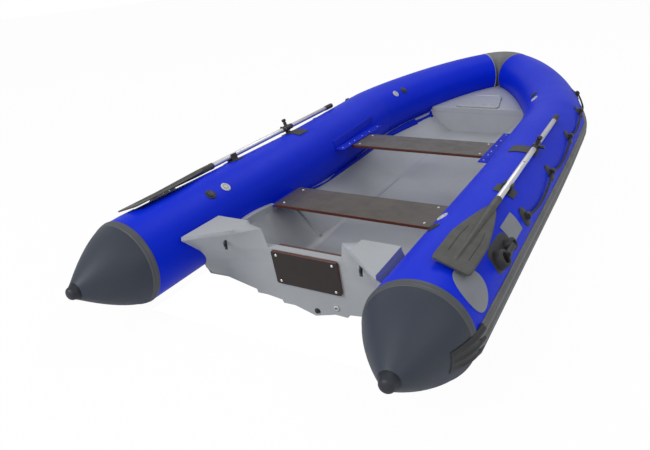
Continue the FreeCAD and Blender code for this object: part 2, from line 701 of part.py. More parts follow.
def disc_on_tube(y, angle, radius, height):
    """Round fitting seated on the tube's surface."""
    disc = Part.makeCylinder(radius, height + 12)
    disc.Placement = tube_frame(y, angle, -12)
    return disc.cut(tube_core(y, angle, 300))


def valve_node(name, label, places, radius):
    """Valves of one kind on the starboard tube, as solids that don't touch."""
    solids = []
    for y, angle in places:
        body = disc_on_tube(y, angle, size(radius), size("valve_height"))
        solids.append(max(body.Solids, key=lambda solid: solid.Volume))
    return keep(feature(name, Part.makeCompound(solids)), label)


mirror(valve_node("InflationValves", "inflation_valves_starboard", ((492, 125), (2878, 134)),
                  "valve_radius"), "inflation_valves_port")
mirror(valve_node("ReliefValves", "relief_valves_starboard", ((612, 126), (2770, 134)),
                  "relief_radius"), "relief_valves_port")

# ---------------------------------------------------------------- grab lines and handles
HOLDERS = ((3060, 34), (2577, 38), (2069, 34), (1461, 33), (858, 32))
holder_solids = []
for y, angle in HOLDERS:
    foot = Part.makeCylinder(24, 14, Vector(0, 0, -8))
    ear = Part.makeCylinder(size("holder_radius"), 28, Vector(0, -14, 14), Vector(0, 1, 0))
    solid = foot.fuse(ear)
    solid.Placement = tube_frame(y, angle, 0)
    solid = solid.cut([tube_core(y, angle, 300), clear_starboard])
    holder_solids.append(solid)

# route of the starboard grab line: y, angle above outboard, lift off the tube
ROPE_ROUTE = (
    (3040, 33.5, 15), (2950, 31, 14), (2820, 28.5, 12), (2700, 31, 12), (2600, 36.5, 15),
    (2550, 36.5, 15), (2450, 31.5, 12), (2320, 27.5, 11), (2200, 28, 11), (2100, 32.5, 15),
    (2040, 32.5, 15), (1930, 27, 12), (1770, 23, 10), (1610, 25.5, 11), (1500, 31, 15),
    (1425, 31.5, 15), (1310, 26, 12), (1150, 22.5, 10), (1000, 25, 11), (885, 30.5, 15),
)


def rounded_route(points):
    """Straight runs joined by tangent arcs, and the radius of each arc."""
    runs = [(b - a).Length for a, b in zip(points, points[1:])]
    edges, radii, start = [], [], points[0]
    for index in range(1, len(points) - 1):
        before = points[index - 1] - points[index]
        after = points[index + 1] - points[index]
        turn = math.pi - before.getAngle(after)
        setback = 0.45 * min(runs[index - 1], runs[index])
        radii.append(setback / math.tan(turn / 2))
        before.normalize()
        after.normalize()
        enter = points[index] + before * setback
        leave = points[index] + after * setback
        bisector = before + after
        bisector.normalize()
        centre = points[index] + bisector * (setback / math.tan(turn / 2) / math.cos(turn / 2)
                                             * 1.0 if turn else 0)
        crown = centre - bisector * radii[-1]
        edges.append(Part.makeLine(start, enter))
        edges.append(Part.Arc(enter, crown, leave).toShape())
        start = leave
    edges.append(Part.makeLine(start, points[-1]))
    return Part.Wire(edges), radii


rope_points = [on_tube(y, angle, rise) for y, angle, rise in ROPE_ROUTE]
rope_wire, rope_radii = rounded_route(rope_points)
first = rope_points[1] - rope_points[0]
rope_ring = Part.Wire([Part.makeCircle(size("rope_radius"), rope_points[0], first)])
rope_solid = rope_wire.makePipeShell([rope_ring], True, False)
expected = math.pi * size("rope_radius") ** 2 * rope_wire.Length
print("grab line: length %.0f mm, volume over expected %.4f" % (rope_wire.Length,
                                                               rope_solid.Volume / expected))
print("grab line radii:", " ".join("%.0f" % radius for radius in rope_radii))
mirror(keep(feature("Lifeline", rope_solid), "lifeline_starboard"), "lifeline_port")

rope_room_ring = Part.Wire([Part.makeCircle(size("rope_radius") + 0.3, rope_points[0], first)])
rope_room = rope_wire.makePipeShell([rope_room_ring], True, False)
holder_shape = Part.makeCompound([solid.cut(rope_room) for solid in holder_solids])
mirror(keep(feature("Holders", holder_shape), "lifeline_holders_starboard"),
       "lifeline_holders_port")

handle_pad = tube_pad("HandlePad", 345, 590, 20, 50, "2.5")
handle_parts = [handle_pad]
handle_angle = 33
for name, y in (("HandleFootAft", size("handle_aft")), ("HandleFootFore", size("handle_fore"))):
    handle_parts.append(cylinder(name, "Dims.handle_radius + 5", "Dims.handle_lift + 4",
                                 tube_frame(y, handle_angle, -4)))
bar_start = on_tube(size("handle_aft") - 8, handle_angle, size("handle_lift"))
handle_parts.append(cylinder("HandleBar", "Dims.handle_radius",
                             "Dims.handle_fore - Dims.handle_aft + 16",
                             Placement(bar_start, ALONG)))
handle_core = cylinder("HandleCore", "Dims.tube_radius + Dims.seam_gap", "500",
                       Placement(Vector(size("half_spread"), 700, size("tube_height")),
                                 Rotation(Vector(1, 0, 0), 90)))
handle_sum = fuse("HandleSum", handle_parts)
mirror(keep(cut("HandleStarboard", handle_sum, handle_core), "carry_handle_starboard"),
       "carry_handle_port")

# ---------------------------------------------------------------- transom fittings
eye_height = 294
eye_y = min(aft_face(338, eye_height), aft_face(364, eye_height)) - gap
arch = Part.makeTorus(size("eye_radius"), size("eye_wire"), Vector(0, 0, 0), Vector(0, 0, 1),
                      0, 360, 180)
arch.Placement = Placement(Vector(351, eye_y + 8, eye_height),
                           Rotation(Vector(0, 1, 0), 90).multiply(Rotation(Vector(0, 0, 1), 180)))
eye_plate = Part.makeBox(14, 3, 60, Vector(344, eye_y - 3, eye_height - 30))
eye_solid = arch.cut(Part.makeBox(200, 200, 200, Vector(258, eye_y - 2, eye_height - 100)))
eye = feature("EyeStarboard", eye_solid.fuse(eye_plate).cut(moulding))
mirror(keep(eye, "transom_eye_starboard"), "transom_eye_port")

for name, label, x, z in (("DrainPlug", "drain_plug", 15, -84), ("DrainFlange", "drain_flange", 129, -37)):
    frame = Placement(Vector(x, transom_aft(z) - gap, z), Rotation(Vector(1, 0, 0), 90 + lean))
    keep(cylinder(name, "Dims.drain_radius", "9", frame), label)

# ---------------------------------------------------------------- check and write
doc.recompute()
for obj in doc.Objects:
    if "Invalid" in obj.State or "Error" in obj.State:
        raise RuntimeError("failed object " + obj.Label)
os.makedirs("parts", exist_ok=True)
for piece in pieces:
    shape = piece.Shape
    if shape.isNull() or not shape.isValid():
        raise RuntimeError("bad shape " + piece.Label)
    shape.exportStep("parts/%s.step" % piece.Label)
    bounds = shape.BoundBox
    print("%-32s solids %d volume %.6f  x %.0f..%.0f  y %.0f..%.0f  z %.0f..%.0f" % (
        piece.Label, len(shape.Solids), shape.Volume / 1e9, bounds.XMin, bounds.XMax,
        bounds.YMin, bounds.YMax, bounds.ZMin, bounds.ZMax))
print("pieces", len(pieces))
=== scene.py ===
"""Rigid inflatable boat: a glass-fibre V hull between two air tubes, with thwarts and two oars.

Frame: +Y to the bow, +X to starboard, +Z up, metres; the origin lies at the waterline.
"""
import json
import math

import bmesh
import bpy
import numpy as np
from mathutils import Matrix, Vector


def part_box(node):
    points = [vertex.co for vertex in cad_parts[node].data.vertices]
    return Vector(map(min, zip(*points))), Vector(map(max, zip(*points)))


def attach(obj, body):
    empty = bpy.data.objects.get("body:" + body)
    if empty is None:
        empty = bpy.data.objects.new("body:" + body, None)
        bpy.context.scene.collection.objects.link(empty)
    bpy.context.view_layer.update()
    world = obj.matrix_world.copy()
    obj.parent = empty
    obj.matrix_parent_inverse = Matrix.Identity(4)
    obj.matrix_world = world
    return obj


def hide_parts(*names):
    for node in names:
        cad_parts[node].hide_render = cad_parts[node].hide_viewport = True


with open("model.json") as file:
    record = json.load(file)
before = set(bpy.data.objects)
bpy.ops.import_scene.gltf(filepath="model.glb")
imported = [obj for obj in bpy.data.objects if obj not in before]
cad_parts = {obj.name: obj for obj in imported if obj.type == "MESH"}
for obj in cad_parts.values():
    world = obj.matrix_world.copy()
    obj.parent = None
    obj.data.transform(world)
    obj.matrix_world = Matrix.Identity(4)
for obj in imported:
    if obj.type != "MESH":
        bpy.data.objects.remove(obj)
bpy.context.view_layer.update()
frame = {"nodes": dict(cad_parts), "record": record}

# ---------------------------------------------------------------- view, light and floor
# The boat floats over a pale floor at its waterline, under soft lamps and a white
# sky. The camera stands off the starboard quarter, above the tubes.
scene = bpy.context.scene
scene.view_settings.view_transform = "Standard"

VIEW_PLACE = (1.330, -1.613, 1.452)
VIEW_TURN, VIEW_DIP, VIEW_ROLL = (math.radians(angle) for angle in (30.907, 23.904, -4.556))
back = np.array((
    math.sin(VIEW_TURN) * math.cos(VIEW_DIP),
    -math.cos(VIEW_TURN) * math.cos(VIEW_DIP),
    math.sin(VIEW_DIP),
))
level = np.cross(-back, (0.0, 0.0, 1.0))
level /= np.linalg.norm(level)
steep = np.cross(level, -back)
right = math.cos(VIEW_ROLL) * level + math.sin(VIEW_ROLL) * steep
upward = math.cos(VIEW_ROLL) * steep - math.sin(VIEW_ROLL) * level

camera_data = bpy.data.cameras.new("view")
camera_data.sensor_width = 36.0
camera_data.lens = 32.5
camera_data.clip_end = 200.0
camera = bpy.data.objects.new("view", camera_data)
scene.collection.objects.link(camera)
camera.matrix_world = Matrix([[*row, place] for row, place in zip(np.stack((right, upward, back), 1), VIEW_PLACE)]
                             + [[0.0, 0.0, 0.0, 1.0]])
scene.camera = camera


def soft_lamp(name, place, aim, width, power):
    """Square area lamp at place, turned towards aim."""
    data = bpy.data.lights.new(name, "AREA")
    data.size = width
    data.energy = power
    lamp = bpy.data.objects.new(name, data)
    scene.collection.objects.link(lamp)
    away = np.array(place, float) - np.array(aim, float)
    lamp.location = place
    lamp.rotation_euler = (
        math.atan2(math.hypot(away[0], away[1]), away[2]), 0.0, math.atan2(away[1], away[0]) + math.pi / 2)


def shader_node(tree, kind, values=(), **settings):
    """New shader node: settings are its own properties, values are its inputs by name or number."""
    node = tree.nodes.new("ShaderNode" + kind)
    for name, setting in settings.items():
        setattr(node, name, setting)
    for socket, value in dict(values).items():
        node.inputs[socket].default_value = value
    return node


def wire(tree, *pairs):
    """Links each (output, input) pair of sockets."""
    for source, target in pairs:
        tree.links.new(source, target)


soft_lamp("key", (-2.5, -5.5, 4.8), (0.0, 1.6, 0.2), 3.5, 340.0)
soft_lamp("fill", (5.0, -1.5, 4.5), (0.0, 1.5, 0.2), 5.0, 60.0)
soft_lamp("over", (0.0, 5.5, 6.0), (0.0, 2.0, 0.2), 4.0, 90.0)

WHITE = (1.0, 1.0, 1.0, 1.0)
world = bpy.data.worlds.new("sky")
scene.world = world
world.use_nodes = True
sky = world.node_tree
sky.nodes.clear()
sky_out = shader_node(sky, "OutputWorld")
sky_mix = shader_node(sky, "MixShader")
sky_lit = shader_node(sky, "Background", {"Color": (0.93, 0.96, 1.0, 1.0), "Strength": 0.40})
sky_seen = shader_node(sky, "Background", {"Color": WHITE, "Strength": 1.0})
sky_ray = shader_node(sky, "LightPath")
# the white sky is seen by the camera, through glass, and by about a third in reflections
sky_soft = shader_node(sky, "Math", {1: 0.35}, operation="MULTIPLY_ADD", use_clamp=True)
sky_seen_by = shader_node(sky, "Math", operation="ADD", use_clamp=True)
wire(sky,
     (sky_ray.outputs["Is Glossy Ray"], sky_soft.inputs[0]),
     (sky_ray.outputs["Is Transmission Ray"], sky_soft.inputs[2]),
     (sky_ray.outputs["Is Camera Ray"], sky_seen_by.inputs[0]),
     (sky_soft.outputs[0], sky_seen_by.inputs[1]),
     (sky_seen_by.outputs[0], sky_mix.inputs["Fac"]),
     (sky_lit.outputs[0], sky_mix.inputs[1]),
     (sky_seen.outputs[0], sky_mix.inputs[2]),
     (sky_mix.outputs[0], sky_out.inputs["Surface"]))


def new_material(name):
    """Empty material with a Principled shader: (material, node tree, shader)."""
    material = bpy.data.materials.new(name)
    material.use_nodes = True
    return material, material.node_tree, material.node_tree.nodes["Principled BSDF"]


def surface_object(name, points, faces, material, smooth=True):
    """Mesh object at the origin from an array of points and an array of quads or triangles."""
    mesh = bpy.data.meshes.new(name)
    mesh.from_pydata(np.asarray(points, float).reshape(-1, 3).tolist(), [], [list(face) for face in faces])
    mesh.polygons.foreach_set("use_smooth", [smooth] * len(mesh.polygons))
    mesh.materials.append(material)
    made = bpy.data.objects.new(name, mesh)
    scene.collection.objects.link(made)
    return made


floor_material, floor_tree, floor_shader = new_material("pale_floor")
floor_shader.inputs["Base Color"].default_value = (0.9, 0.9, 0.9, 1.0)
floor_shader.inputs["Roughness"].default_value = 0.9
floor_glow = shader_node(floor_tree, "Emission", {"Color": WHITE, "Strength": 1.0})
floor_mix = shader_node(floor_tree, "MixShader")
floor_ray = shader_node(floor_tree, "LightPath")
# the camera sees nearly all glow, and the little that is left carries the shadow
floor_reach = shader_node(floor_tree, "Math", {1: 0.97}, operation="MULTIPLY")
wire(floor_tree,
     (floor_ray.outputs["Is Camera Ray"], floor_reach.inputs[0]),
     (floor_reach.outputs[0], floor_mix.inputs["Fac"]),
     (floor_shader.outputs[0], floor_mix.inputs[1]),
     (floor_glow.outputs[0], floor_mix.inputs[2]),
     (floor_mix.outputs[0], floor_tree.nodes["Material Output"].inputs["Surface"]))
# the floor has an opening round the hull, as the water's surface has
FAR_OUT, FAR_AHEAD = 30.0, 34.0
opening = [(-0.66, 0.04), (0.66, 0.04), (0.66, 2.60), (0.45, 3.30), (0.10, 3.60), (-0.10, 3.60), (-0.45, 3.30),
           (-0.66, 2.60)]
far = [(-FAR_OUT, -FAR_OUT), (FAR_OUT, -FAR_OUT), (FAR_OUT, 2.60), (FAR_OUT, FAR_AHEAD), (0.10, FAR_AHEAD),
       (-0.10, FAR_AHEAD), (-FAR_OUT, FAR_AHEAD), (-FAR_OUT, 2.60)]
floor = surface_object("floor", [(x, y, 0.0) for x, y in opening + far],
                       [(step, step + 8, (step + 1) % 8 + 8, (step + 1) % 8) for step in range(8)],
                       floor_material, False)

# ---------------------------------------------------------------- grab lines
# Each side has one black twisted rope, 12 mm thick. It is threaded through rubber
# holders glued along the tube and hangs in shallow bights between them.
SIDES = ((1.0, "starboard"), (-1.0, "port"))
LINE_LENGTH, LINE_DIAMETER, TWIST_PITCH, STRAND_OFFSET, STRAND_RADIUS = 2.185, 0.012, 0.072, 0.0034, 0.0033
TUBE_RADIUS, BOW_RADIUS, HALF_SPREAD, TUBE_HEIGHT = 0.205, 0.187, 0.705, 0.265
STRAIGHT_RUN, BOW_REACH, BOW_RISE, RISE_START, TAPER_START = 2.567, 4.089, 0.137, 1.5, 2.045

bow_turns = np.linspace(0.0, math.pi / 2, 4001)
bow_plan_x = HALF_SPREAD * np.cos(bow_turns) ** 1.273
bow_plan_y = STRAIGHT_RUN + (BOW_REACH - STRAIGHT_RUN) * np.sin(bow_turns) ** 1.471


def centre_x(y):
    """Half spread of the tube centres: constant aft, a power of the cosine round the bow."""
    return np.where(y <= STRAIGHT_RUN, HALF_SPREAD, np.interp(y, bow_plan_y, bow_plan_x))


def centre_height(y):
    """Height of the tube centre: level aft, then rising with a power of the distance."""
    share = np.clip((y - RISE_START) / (BOW_REACH - RISE_START), 0.0, None)
    return TUBE_HEIGHT + BOW_RISE * share ** 1.35


def tube_radius(y):
    """Tube radius: constant aft, then falling in proportion to the distance."""
    share = np.clip((y - TAPER_START) / (BOW_REACH - TAPER_START), 0.0, 1.0)
    return TUBE_RADIUS + (BOW_RADIUS - TUBE_RADIUS) * share


def heading_at(y):
    """Turn of the tube's outboard side from +X, the arc tangent of how fast the spread falls."""
    return np.arctan2(centre_x(y - 0.002) - centre_x(y + 0.002), 0.004)


def at_station(station, angle, lift=0.0, side=1.0):
    """Points off centre stations: centre plus (radius + lift) along the normal at that angle."""
    station, angle = np.broadcast_arrays(np.asarray(station, float), np.asarray(angle, float))
    reach = tube_radius(station) + lift
    turn = heading_at(station)
    across = reach * np.cos(np.radians(angle))
    return np.stack((
        side * (centre_x(station) + across * np.cos(turn)),
        station + across * np.sin(turn),
        centre_height(station) + reach * np.sin(np.radians(angle)),
    ), -1)


def on_tube(y, angle, lift=0.0, side=1.0):
    """Points of the tube's surface at y: the centre station is found by halving an interval."""
    y, angle = np.broadcast_arrays(np.asarray(y, float), np.asarray(angle, float))
    low, high = y - 0.3, y + 0.3
    for _ in range(30):
        middle = (low + high) / 2
        ahead = middle + tube_radius(middle) * np.cos(np.radians(angle)) * np.sin(heading_at(middle)) >= y
        low, high = np.where(ahead, low, middle), np.where(ahead, middle, high)
    return at_station(low, angle, lift, side)


# route of the starboard line: y, angle above outboard, lift off the tube
LINE_ROUTE = np.array((
    (3.040, 33.5, 0.015), (2.950, 31.0, 0.014), (2.820, 28.5, 0.012), (2.700, 31.0, 0.012),
    (2.600, 36.5, 0.015), (2.550, 36.5, 0.015), (2.450, 31.5, 0.012), (2.320, 27.5, 0.011),
    (2.200, 28.0, 0.011), (2.100, 32.5, 0.015), (2.040, 32.5, 0.015), (1.930, 27.0, 0.012),
    (1.770, 23.0, 0.010), (1.610, 25.5, 0.011), (1.500, 31.0, 0.015), (1.425, 31.5, 0.015),
    (1.310, 26.0, 0.012), (1.150, 22.5, 0.010), (1.000, 25.0, 0.011), (0.885, 30.5, 0.015),
))


def spline_points(name, route, resolution=12):
    """Points of a quadratic NURBS spline whose control points are the route's, end to end."""
    curve = bpy.data.curves.new(name, "CURVE")
    curve.dimensions = "3D"
    curve.resolution_u = resolution
    spline = curve.splines.new("NURBS")
    spline.points.add(len(route) - 1)
    spline.points.foreach_set("co", np.column_stack((route, np.ones(len(route)))).ravel())
    spline.order_u = 3
    spline.use_endpoint_u = True
    holder = bpy.data.objects.new(name, curve)
    mesh = bpy.data.meshes.new_from_object(holder)
    points = np.empty(len(mesh.vertices) * 3)
    mesh.vertices.foreach_get("co", points)
    bpy.data.objects.remove(holder)
    bpy.data.curves.remove(curve)
    bpy.data.meshes.remove(mesh)
    return points.reshape(-1, 3)


def resampled(path, step):
    """The path's points at even distances of about step, along its runs."""
    runs = np.linalg.norm(np.diff(path, axis=0), axis=1)
    reach = np.concatenate(((0.0,), np.cumsum(runs)))
    even = np.linspace(0.0, reach[-1], max(2, int(round(reach[-1] / step)) + 1))
    return np.stack([np.interp(even, reach, path[:, axis]) for axis in range(3)], -1), even


def path_frames(path, guide=(0.0, 0.0, 1.0)):
    """Tangent, side and up of each path point; up is the guide less its part along the tangent."""
    tangent = np.gradient(path, axis=0)
    tangent /= np.linalg.norm(tangent, axis=1, keepdims=True)
    guide = np.broadcast_to(np.asarray(guide, float), path.shape)
    up = guide - (guide * tangent).sum(1, keepdims=True) * tangent
    up /= np.linalg.norm(up, axis=1, keepdims=True)
    return tangent, np.cross(tangent, up), up


def grid_quads(rows, columns, wrap=False):
    """Quads of a grid of rows by columns of points; wrap joins the last column to the first."""
    r, c = np.meshgrid(np.arange(rows - 1), np.arange(columns if wrap else columns - 1), indexing="ij")
    following = (c + 1) % columns
    quads = np.stack((r * columns + c, r * columns + following, (r + 1) * columns + following,
                      (r + 1) * columns + c), -1)
    return quads.reshape(-1, 4)


def joined(parts):
    """Several (points, faces) as one: each part's face numbers move up past the points before it."""
    points, faces, start = [], [], 0
    for part_points, part_faces in parts:
        part_points = np.asarray(part_points, float).reshape(-1, 3)
        points.append(part_points)
        faces.extend((np.asarray(face) + start).tolist() for face in part_faces)
        start += len(part_points)
    return np.concatenate(points), faces


def outward(made):
    """Merges doubles of a finished object's mesh and turns its faces outward."""
    shell = bmesh.new()
    shell.from_mesh(made.data)
    bmesh.ops.remove_doubles(shell, verts=shell.verts, dist=1e-6)
    bmesh.ops.recalc_face_normals(shell, faces=shell.faces)
    shell.to_mesh(made.data)
    shell.free()
    return made


def swept(path, radius, sides=12, guide=(0.0, 0.0, 1.0)):
    """Tube along a path: circle of the radius about each point, in its side and up directions."""
    _, side, up = path_frames(path, guide)
    turn = np.linspace(0.0, 2 * math.pi, sides, endpoint=False)
    radius = np.broadcast_to(np.asarray(radius, float), (len(path),))[:, None, None]
    rings = path[:, None] + radius * (np.cos(turn)[None, :, None] * side[:, None]
                                      + np.sin(turn)[None, :, None] * up[:, None])
    faces = grid_quads(len(path), sides, True).tolist()
    faces.append(list(range(sides)))
    faces.append(list(range(len(path) * sides - sides, len(path) * sides))[::-1])
    return rings.reshape(-1, 3), faces


def new_group(name, inputs, outputs):
    """Shader node group with the named sockets: (group, its input node, its output node)."""
    group = bpy.data.node_groups.new(name, "ShaderNodeTree")
    for label, kind, value in inputs:
        group.interface.new_socket(label, in_out="INPUT", socket_type=kind).default_value = value
    for label, kind in outputs:
        group.interface.new_socket(label, in_out="OUTPUT", socket_type=kind)
    return group, group.nodes.new("NodeGroupInput"), group.nodes.new("NodeGroupOutput")


# a surface's mottling and fine grain: colour, roughness and normal that change over it
grain, grain_in, grain_out = new_group(
    "mottle_and_grain",
    (("Color", "NodeSocketColor", (0.5, 0.5, 0.5, 1.0)), ("Dirt", "NodeSocketColor", (0.2, 0.2, 0.2, 1.0)),
     ("Mottle", "NodeSocketFloat", 0.15), ("Mottle Size", "NodeSocketFloat", 4.0),
     ("Grain Size", "NodeSocketFloat", 900.0), ("Grain Depth", "NodeSocketFloat", 0.1),
     ("Roughness", "NodeSocketFloat", 0.4)),
    (("Color", "NodeSocketColor"), ("Roughness", "NodeSocketFloat"), ("Normal", "NodeSocketVector")),
)
grain_place = shader_node(grain, "TexCoord")
grain_patches = shader_node(grain, "TexNoise", {"Detail": 5.0, "Roughness": 0.62})
grain_range = shader_node(grain, "MapRange", {"From Min": 0.42, "From Max": 0.78})
grain_share = shader_node(grain, "Math", operation="MULTIPLY")
grain_blend = shader_node(grain, "Mix", data_type="RGBA")
grain_fine = shader_node(grain, "TexNoise", {"Detail": 2.0})
grain_bump = shader_node(grain, "Bump", {"Distance": 0.0006})
grain_rough = shader_node(grain, "Math", {1: 0.25}, operation="MULTIPLY_ADD")
wire(grain,
     (grain_place.outputs["Object"], grain_patches.inputs["Vector"]),
     (grain_place.outputs["Object"], grain_fine.inputs["Vector"]),
     (grain_in.outputs["Mottle Size"], grain_patches.inputs["Scale"]),
     (grain_in.outputs["Grain Size"], grain_fine.inputs["Scale"]),
     (grain_patches.outputs["Fac"], grain_range.inputs["Value"]),
     (grain_range.outputs["Result"], grain_share.inputs[0]),
     (grain_in.outputs["Mottle"], grain_share.inputs[1]),
     (grain_share.outputs[0], grain_blend.inputs["Factor"]),
     (grain_in.outputs["Color"], grain_blend.inputs["A"]),
     (grain_in.outputs["Dirt"], grain_blend.inputs["B"]),
     (grain_blend.outputs["Result"], grain_out.inputs["Color"]),
     (grain_fine.outputs["Fac"], grain_bump.inputs["Height"]),
     (grain_in.outputs["Grain Depth"], grain_bump.inputs["Strength"]),
     (grain_bump.outputs["Normal"], grain_out.inputs["Normal"]),
     (grain_share.outputs[0], grain_rough.inputs[0]),
     (grain_in.outputs["Roughness"], grain_rough.inputs[2]),
     (grain_rough.outputs[0], grain_out.inputs["Roughness"]))


def grained(name, color, dirt, roughness, mottle=0.2, mottle_size=4.0, grain_size=900.0, depth=0.15,
            specular=0.5, metallic=0.0):
    """Material whose colour, roughness and normal come from the mottle_and_grain group."""
    material, tree, shader = new_material(name)
    look = shader_node(tree, "Group", {
        "Color": (*color, 1.0), "Dirt": (*dirt, 1.0), "Mottle": mottle, "Mottle Size": mottle_size,
        "Grain Size": grain_size, "Grain Depth": depth, "Roughness": roughness}, node_tree=grain)
    wire(tree, (look.outputs["Color"], shader.inputs["Base Color"]),
         (look.outputs["Roughness"], shader.inputs["Roughness"]),
         (look.outputs["Normal"], shader.inputs["Normal"]))
    shader.inputs["Specular IOR Level"].default_value = specular
    shader.inputs["Metallic"].default_value = metallic
    material.diffuse_color = (*color, 1.0)
    return material


rope_fibre = grained("rope_fibre", (0.012, 0.012, 0.013), (0.035, 0.035, 0.036), 0.62, 0.4, 60.0, 1800.0, 0.5)

for side, word in SIDES:
    route = on_tube(LINE_ROUTE[:, 0], LINE_ROUTE[:, 1], LINE_ROUTE[:, 2], side)
    smooth_path, along = resampled(spline_points("line_route_" + word, route), 0.004)
    _, across, above = path_frames(smooth_path)
    strands = []
    for strand in range(3):
        phase = 2 * math.pi * (along / TWIST_PITCH + strand / 3.0)
        centre = smooth_path + STRAND_OFFSET * (np.cos(phase)[:, None] * across + np.sin(phase)[:, None] * above)
        strands.append(swept(centre, STRAND_RADIUS, 7))
    rope = outward(surface_object("grab_line_" + word, *joined(strands), rope_fibre))
    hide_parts("lifeline_" + word)
    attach(rope, "boat")

# ---------------------------------------------------------------- side tubes
# The two main tubes are air-tight coated cloth, glued up from long panels. They run
# straight along the hull and sweep in and up to the stem.
PATCH_HALF_WIDTH, PATCH_PIVOT, CONE_SPLAY = 0.140, 3.850, math.radians(3.0)
PATCH_TURN = math.acos((PATCH_HALF_WIDTH / HALF_SPREAD) ** (1 / 1.273))
patch_edge = np.array((PATCH_HALF_WIDTH,
                       STRAIGHT_RUN + (BOW_REACH - STRAIGHT_RUN) * math.sin(PATCH_TURN) ** 1.471))
PATCH_FAN = math.atan2(patch_edge[0], patch_edge[1] - PATCH_PIVOT)

tube_blue = grained("tube_cloth", (0.0020, 0.026, 0.72), (0.0012, 0.017, 0.55), 0.40, 0.35, 1.6, 1400.0, 0.22,
                    specular=0.10)
seam_blue = grained("seam_cloth", (0.0016, 0.020, 0.56), (0.0010, 0.010, 0.36), 0.46, 0.5, 6.0, 1400.0, 0.3,
                    specular=0.10)


def tube_rows(start, step=0.02):
    """Centres, outboard directions and radii along the starboard tube up to the bow seam."""
    y = np.concatenate((np.arange(start, STRAIGHT_RUN, step),
                        STRAIGHT_RUN + (BOW_REACH - STRAIGHT_RUN)
                        * np.sin(np.linspace(0.01, 1.0, 90) * PATCH_TURN) ** 1.471))
    x = centre_x(y)
    turn = heading_at(y)
    share = np.clip((y - 3.75) / (patch_edge[1] - 3.75), 0.0, 1.0)
    turn += (math.pi / 2 - PATCH_FAN - turn) * share * share * (3 - 2 * share)
    turn += CONE_SPLAY * np.clip(1 - y / 0.12, 0.0, 1.0)
    centres = np.stack((x, y, centre_height(y)), -1)
    return centres, np.stack((np.cos(turn), np.sin(turn), 0 * turn), -1), tube_radius(y)


def patch_rows(low, high, count=49):
    """The same round the stem: stations fanned about a pivot, starboard seam at 1, port at -1."""
    share = np.linspace(low, high, count)
    stem = BOW_REACH - PATCH_PIVOT
    edge = math.hypot(patch_edge[0], patch_edge[1] - PATCH_PIVOT)
    reach = stem + (edge - stem) * np.abs(share) ** 1.5
    angle = PATCH_FAN * share
    y = PATCH_PIVOT + reach * np.cos(angle)
    centres = np.stack((reach * np.sin(angle), y, centre_height(y)), -1)
    return centres, np.stack((np.sin(angle), np.cos(angle), 0 * angle), -1), tube_radius(y)


def round_rows(rows, angles, lifts):
    """Grid of points: centre plus (radius + lift) along the outboard direction turned up by the angle."""
    centres, outboard, radius = rows
    angles = np.radians(np.broadcast_to(angles, (len(centres), np.shape(angles)[-1])))
    reach = radius[:, None] + lifts
    points = centres[:, None] + (reach * np.cos(angles))[..., None] * outboard[:, None]
    points[..., 2] += reach * np.sin(angles)
    return points


def mirrored(points, side):
    """The points, or their twins on the port side."""
    return points * np.array((side, 1.0, 1.0))


def closed_grid(points):
    """Faces of a round skin: rows of closed rings with a cap at each end."""
    rows, columns = points.shape[:2]
    faces = grid_quads(rows, columns, True).tolist()
    return points.reshape(-1, 3), faces + [list(range(columns)), list(range(rows * columns - columns, rows * columns))]


def smooth_by_angle(made, degrees):
    """Shades smooth but keeps every edge sharper than the angle crisp."""
    made.data.polygons.foreach_set("use_smooth", [True] * len(made.data.polygons))
    edges = bmesh.new()
    edges.from_mesh(made.data)
    for edge in edges.edges:
        edge.smooth = len(edge.link_faces) == 2 and edge.calc_face_angle(0.0) < math.radians(degrees)
    edges.to_mesh(made.data)
    edges.free()
    return made


def add_piece(name, shape, material, body="boat", nodes=(), crease=0.0):
    """Object from (points, faces), turned outward, on its body, standing for the CAD nodes."""
    made = outward(surface_object(name, *shape, material))
    if crease:
        smooth_by_angle(made, crease)
    if nodes:
        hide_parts(*nodes)
    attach(made, body)
    return made


around = np.linspace(0.0, 360.0, 96, endpoint=False)
for side, word in SIDES:
    skin = round_rows(tube_rows(0.0), around, 0.0)
    add_piece("tube_skin_" + word, closed_grid(mirrored(skin, side)), tube_blue,
              nodes=("tube_" + word,), crease=35.0)


def skin_on(rows, angles, lift, under):
    """Closed rings over the angles: the lifted outer skin, then the underside the other way round."""
    return np.concatenate((round_rows(rows, angles, lift), round_rows(rows, angles[..., ::-1], under)), 1)


def raised_strip(rows, low, high, lift, columns=14):
    """Closed flat strip on the tube between two angles per row: top skin, thin edges, underside."""
    share = np.linspace(0.0, 1.0, columns)
    low, high = np.broadcast_to(low, (len(rows[0]),)), np.broadcast_to(high, (len(rows[0]),))
    angles = low[:, None] + (high - low)[:, None] * share
    rim = 0.25 + 0.75 * np.minimum(1.0, np.minimum(share, 1 - share) * columns / 2.0)
    return skin_on(rows, angles, lift * rim[None], -0.0006)


# a lap seam runs the length of each tube below its outer side
for side, word in SIDES:
    seam = raised_strip(tube_rows(0.02), -62.0, -52.0, 0.0009)
    add_piece("tube_seams_" + word, closed_grid(mirrored(seam, side)), seam_blue)

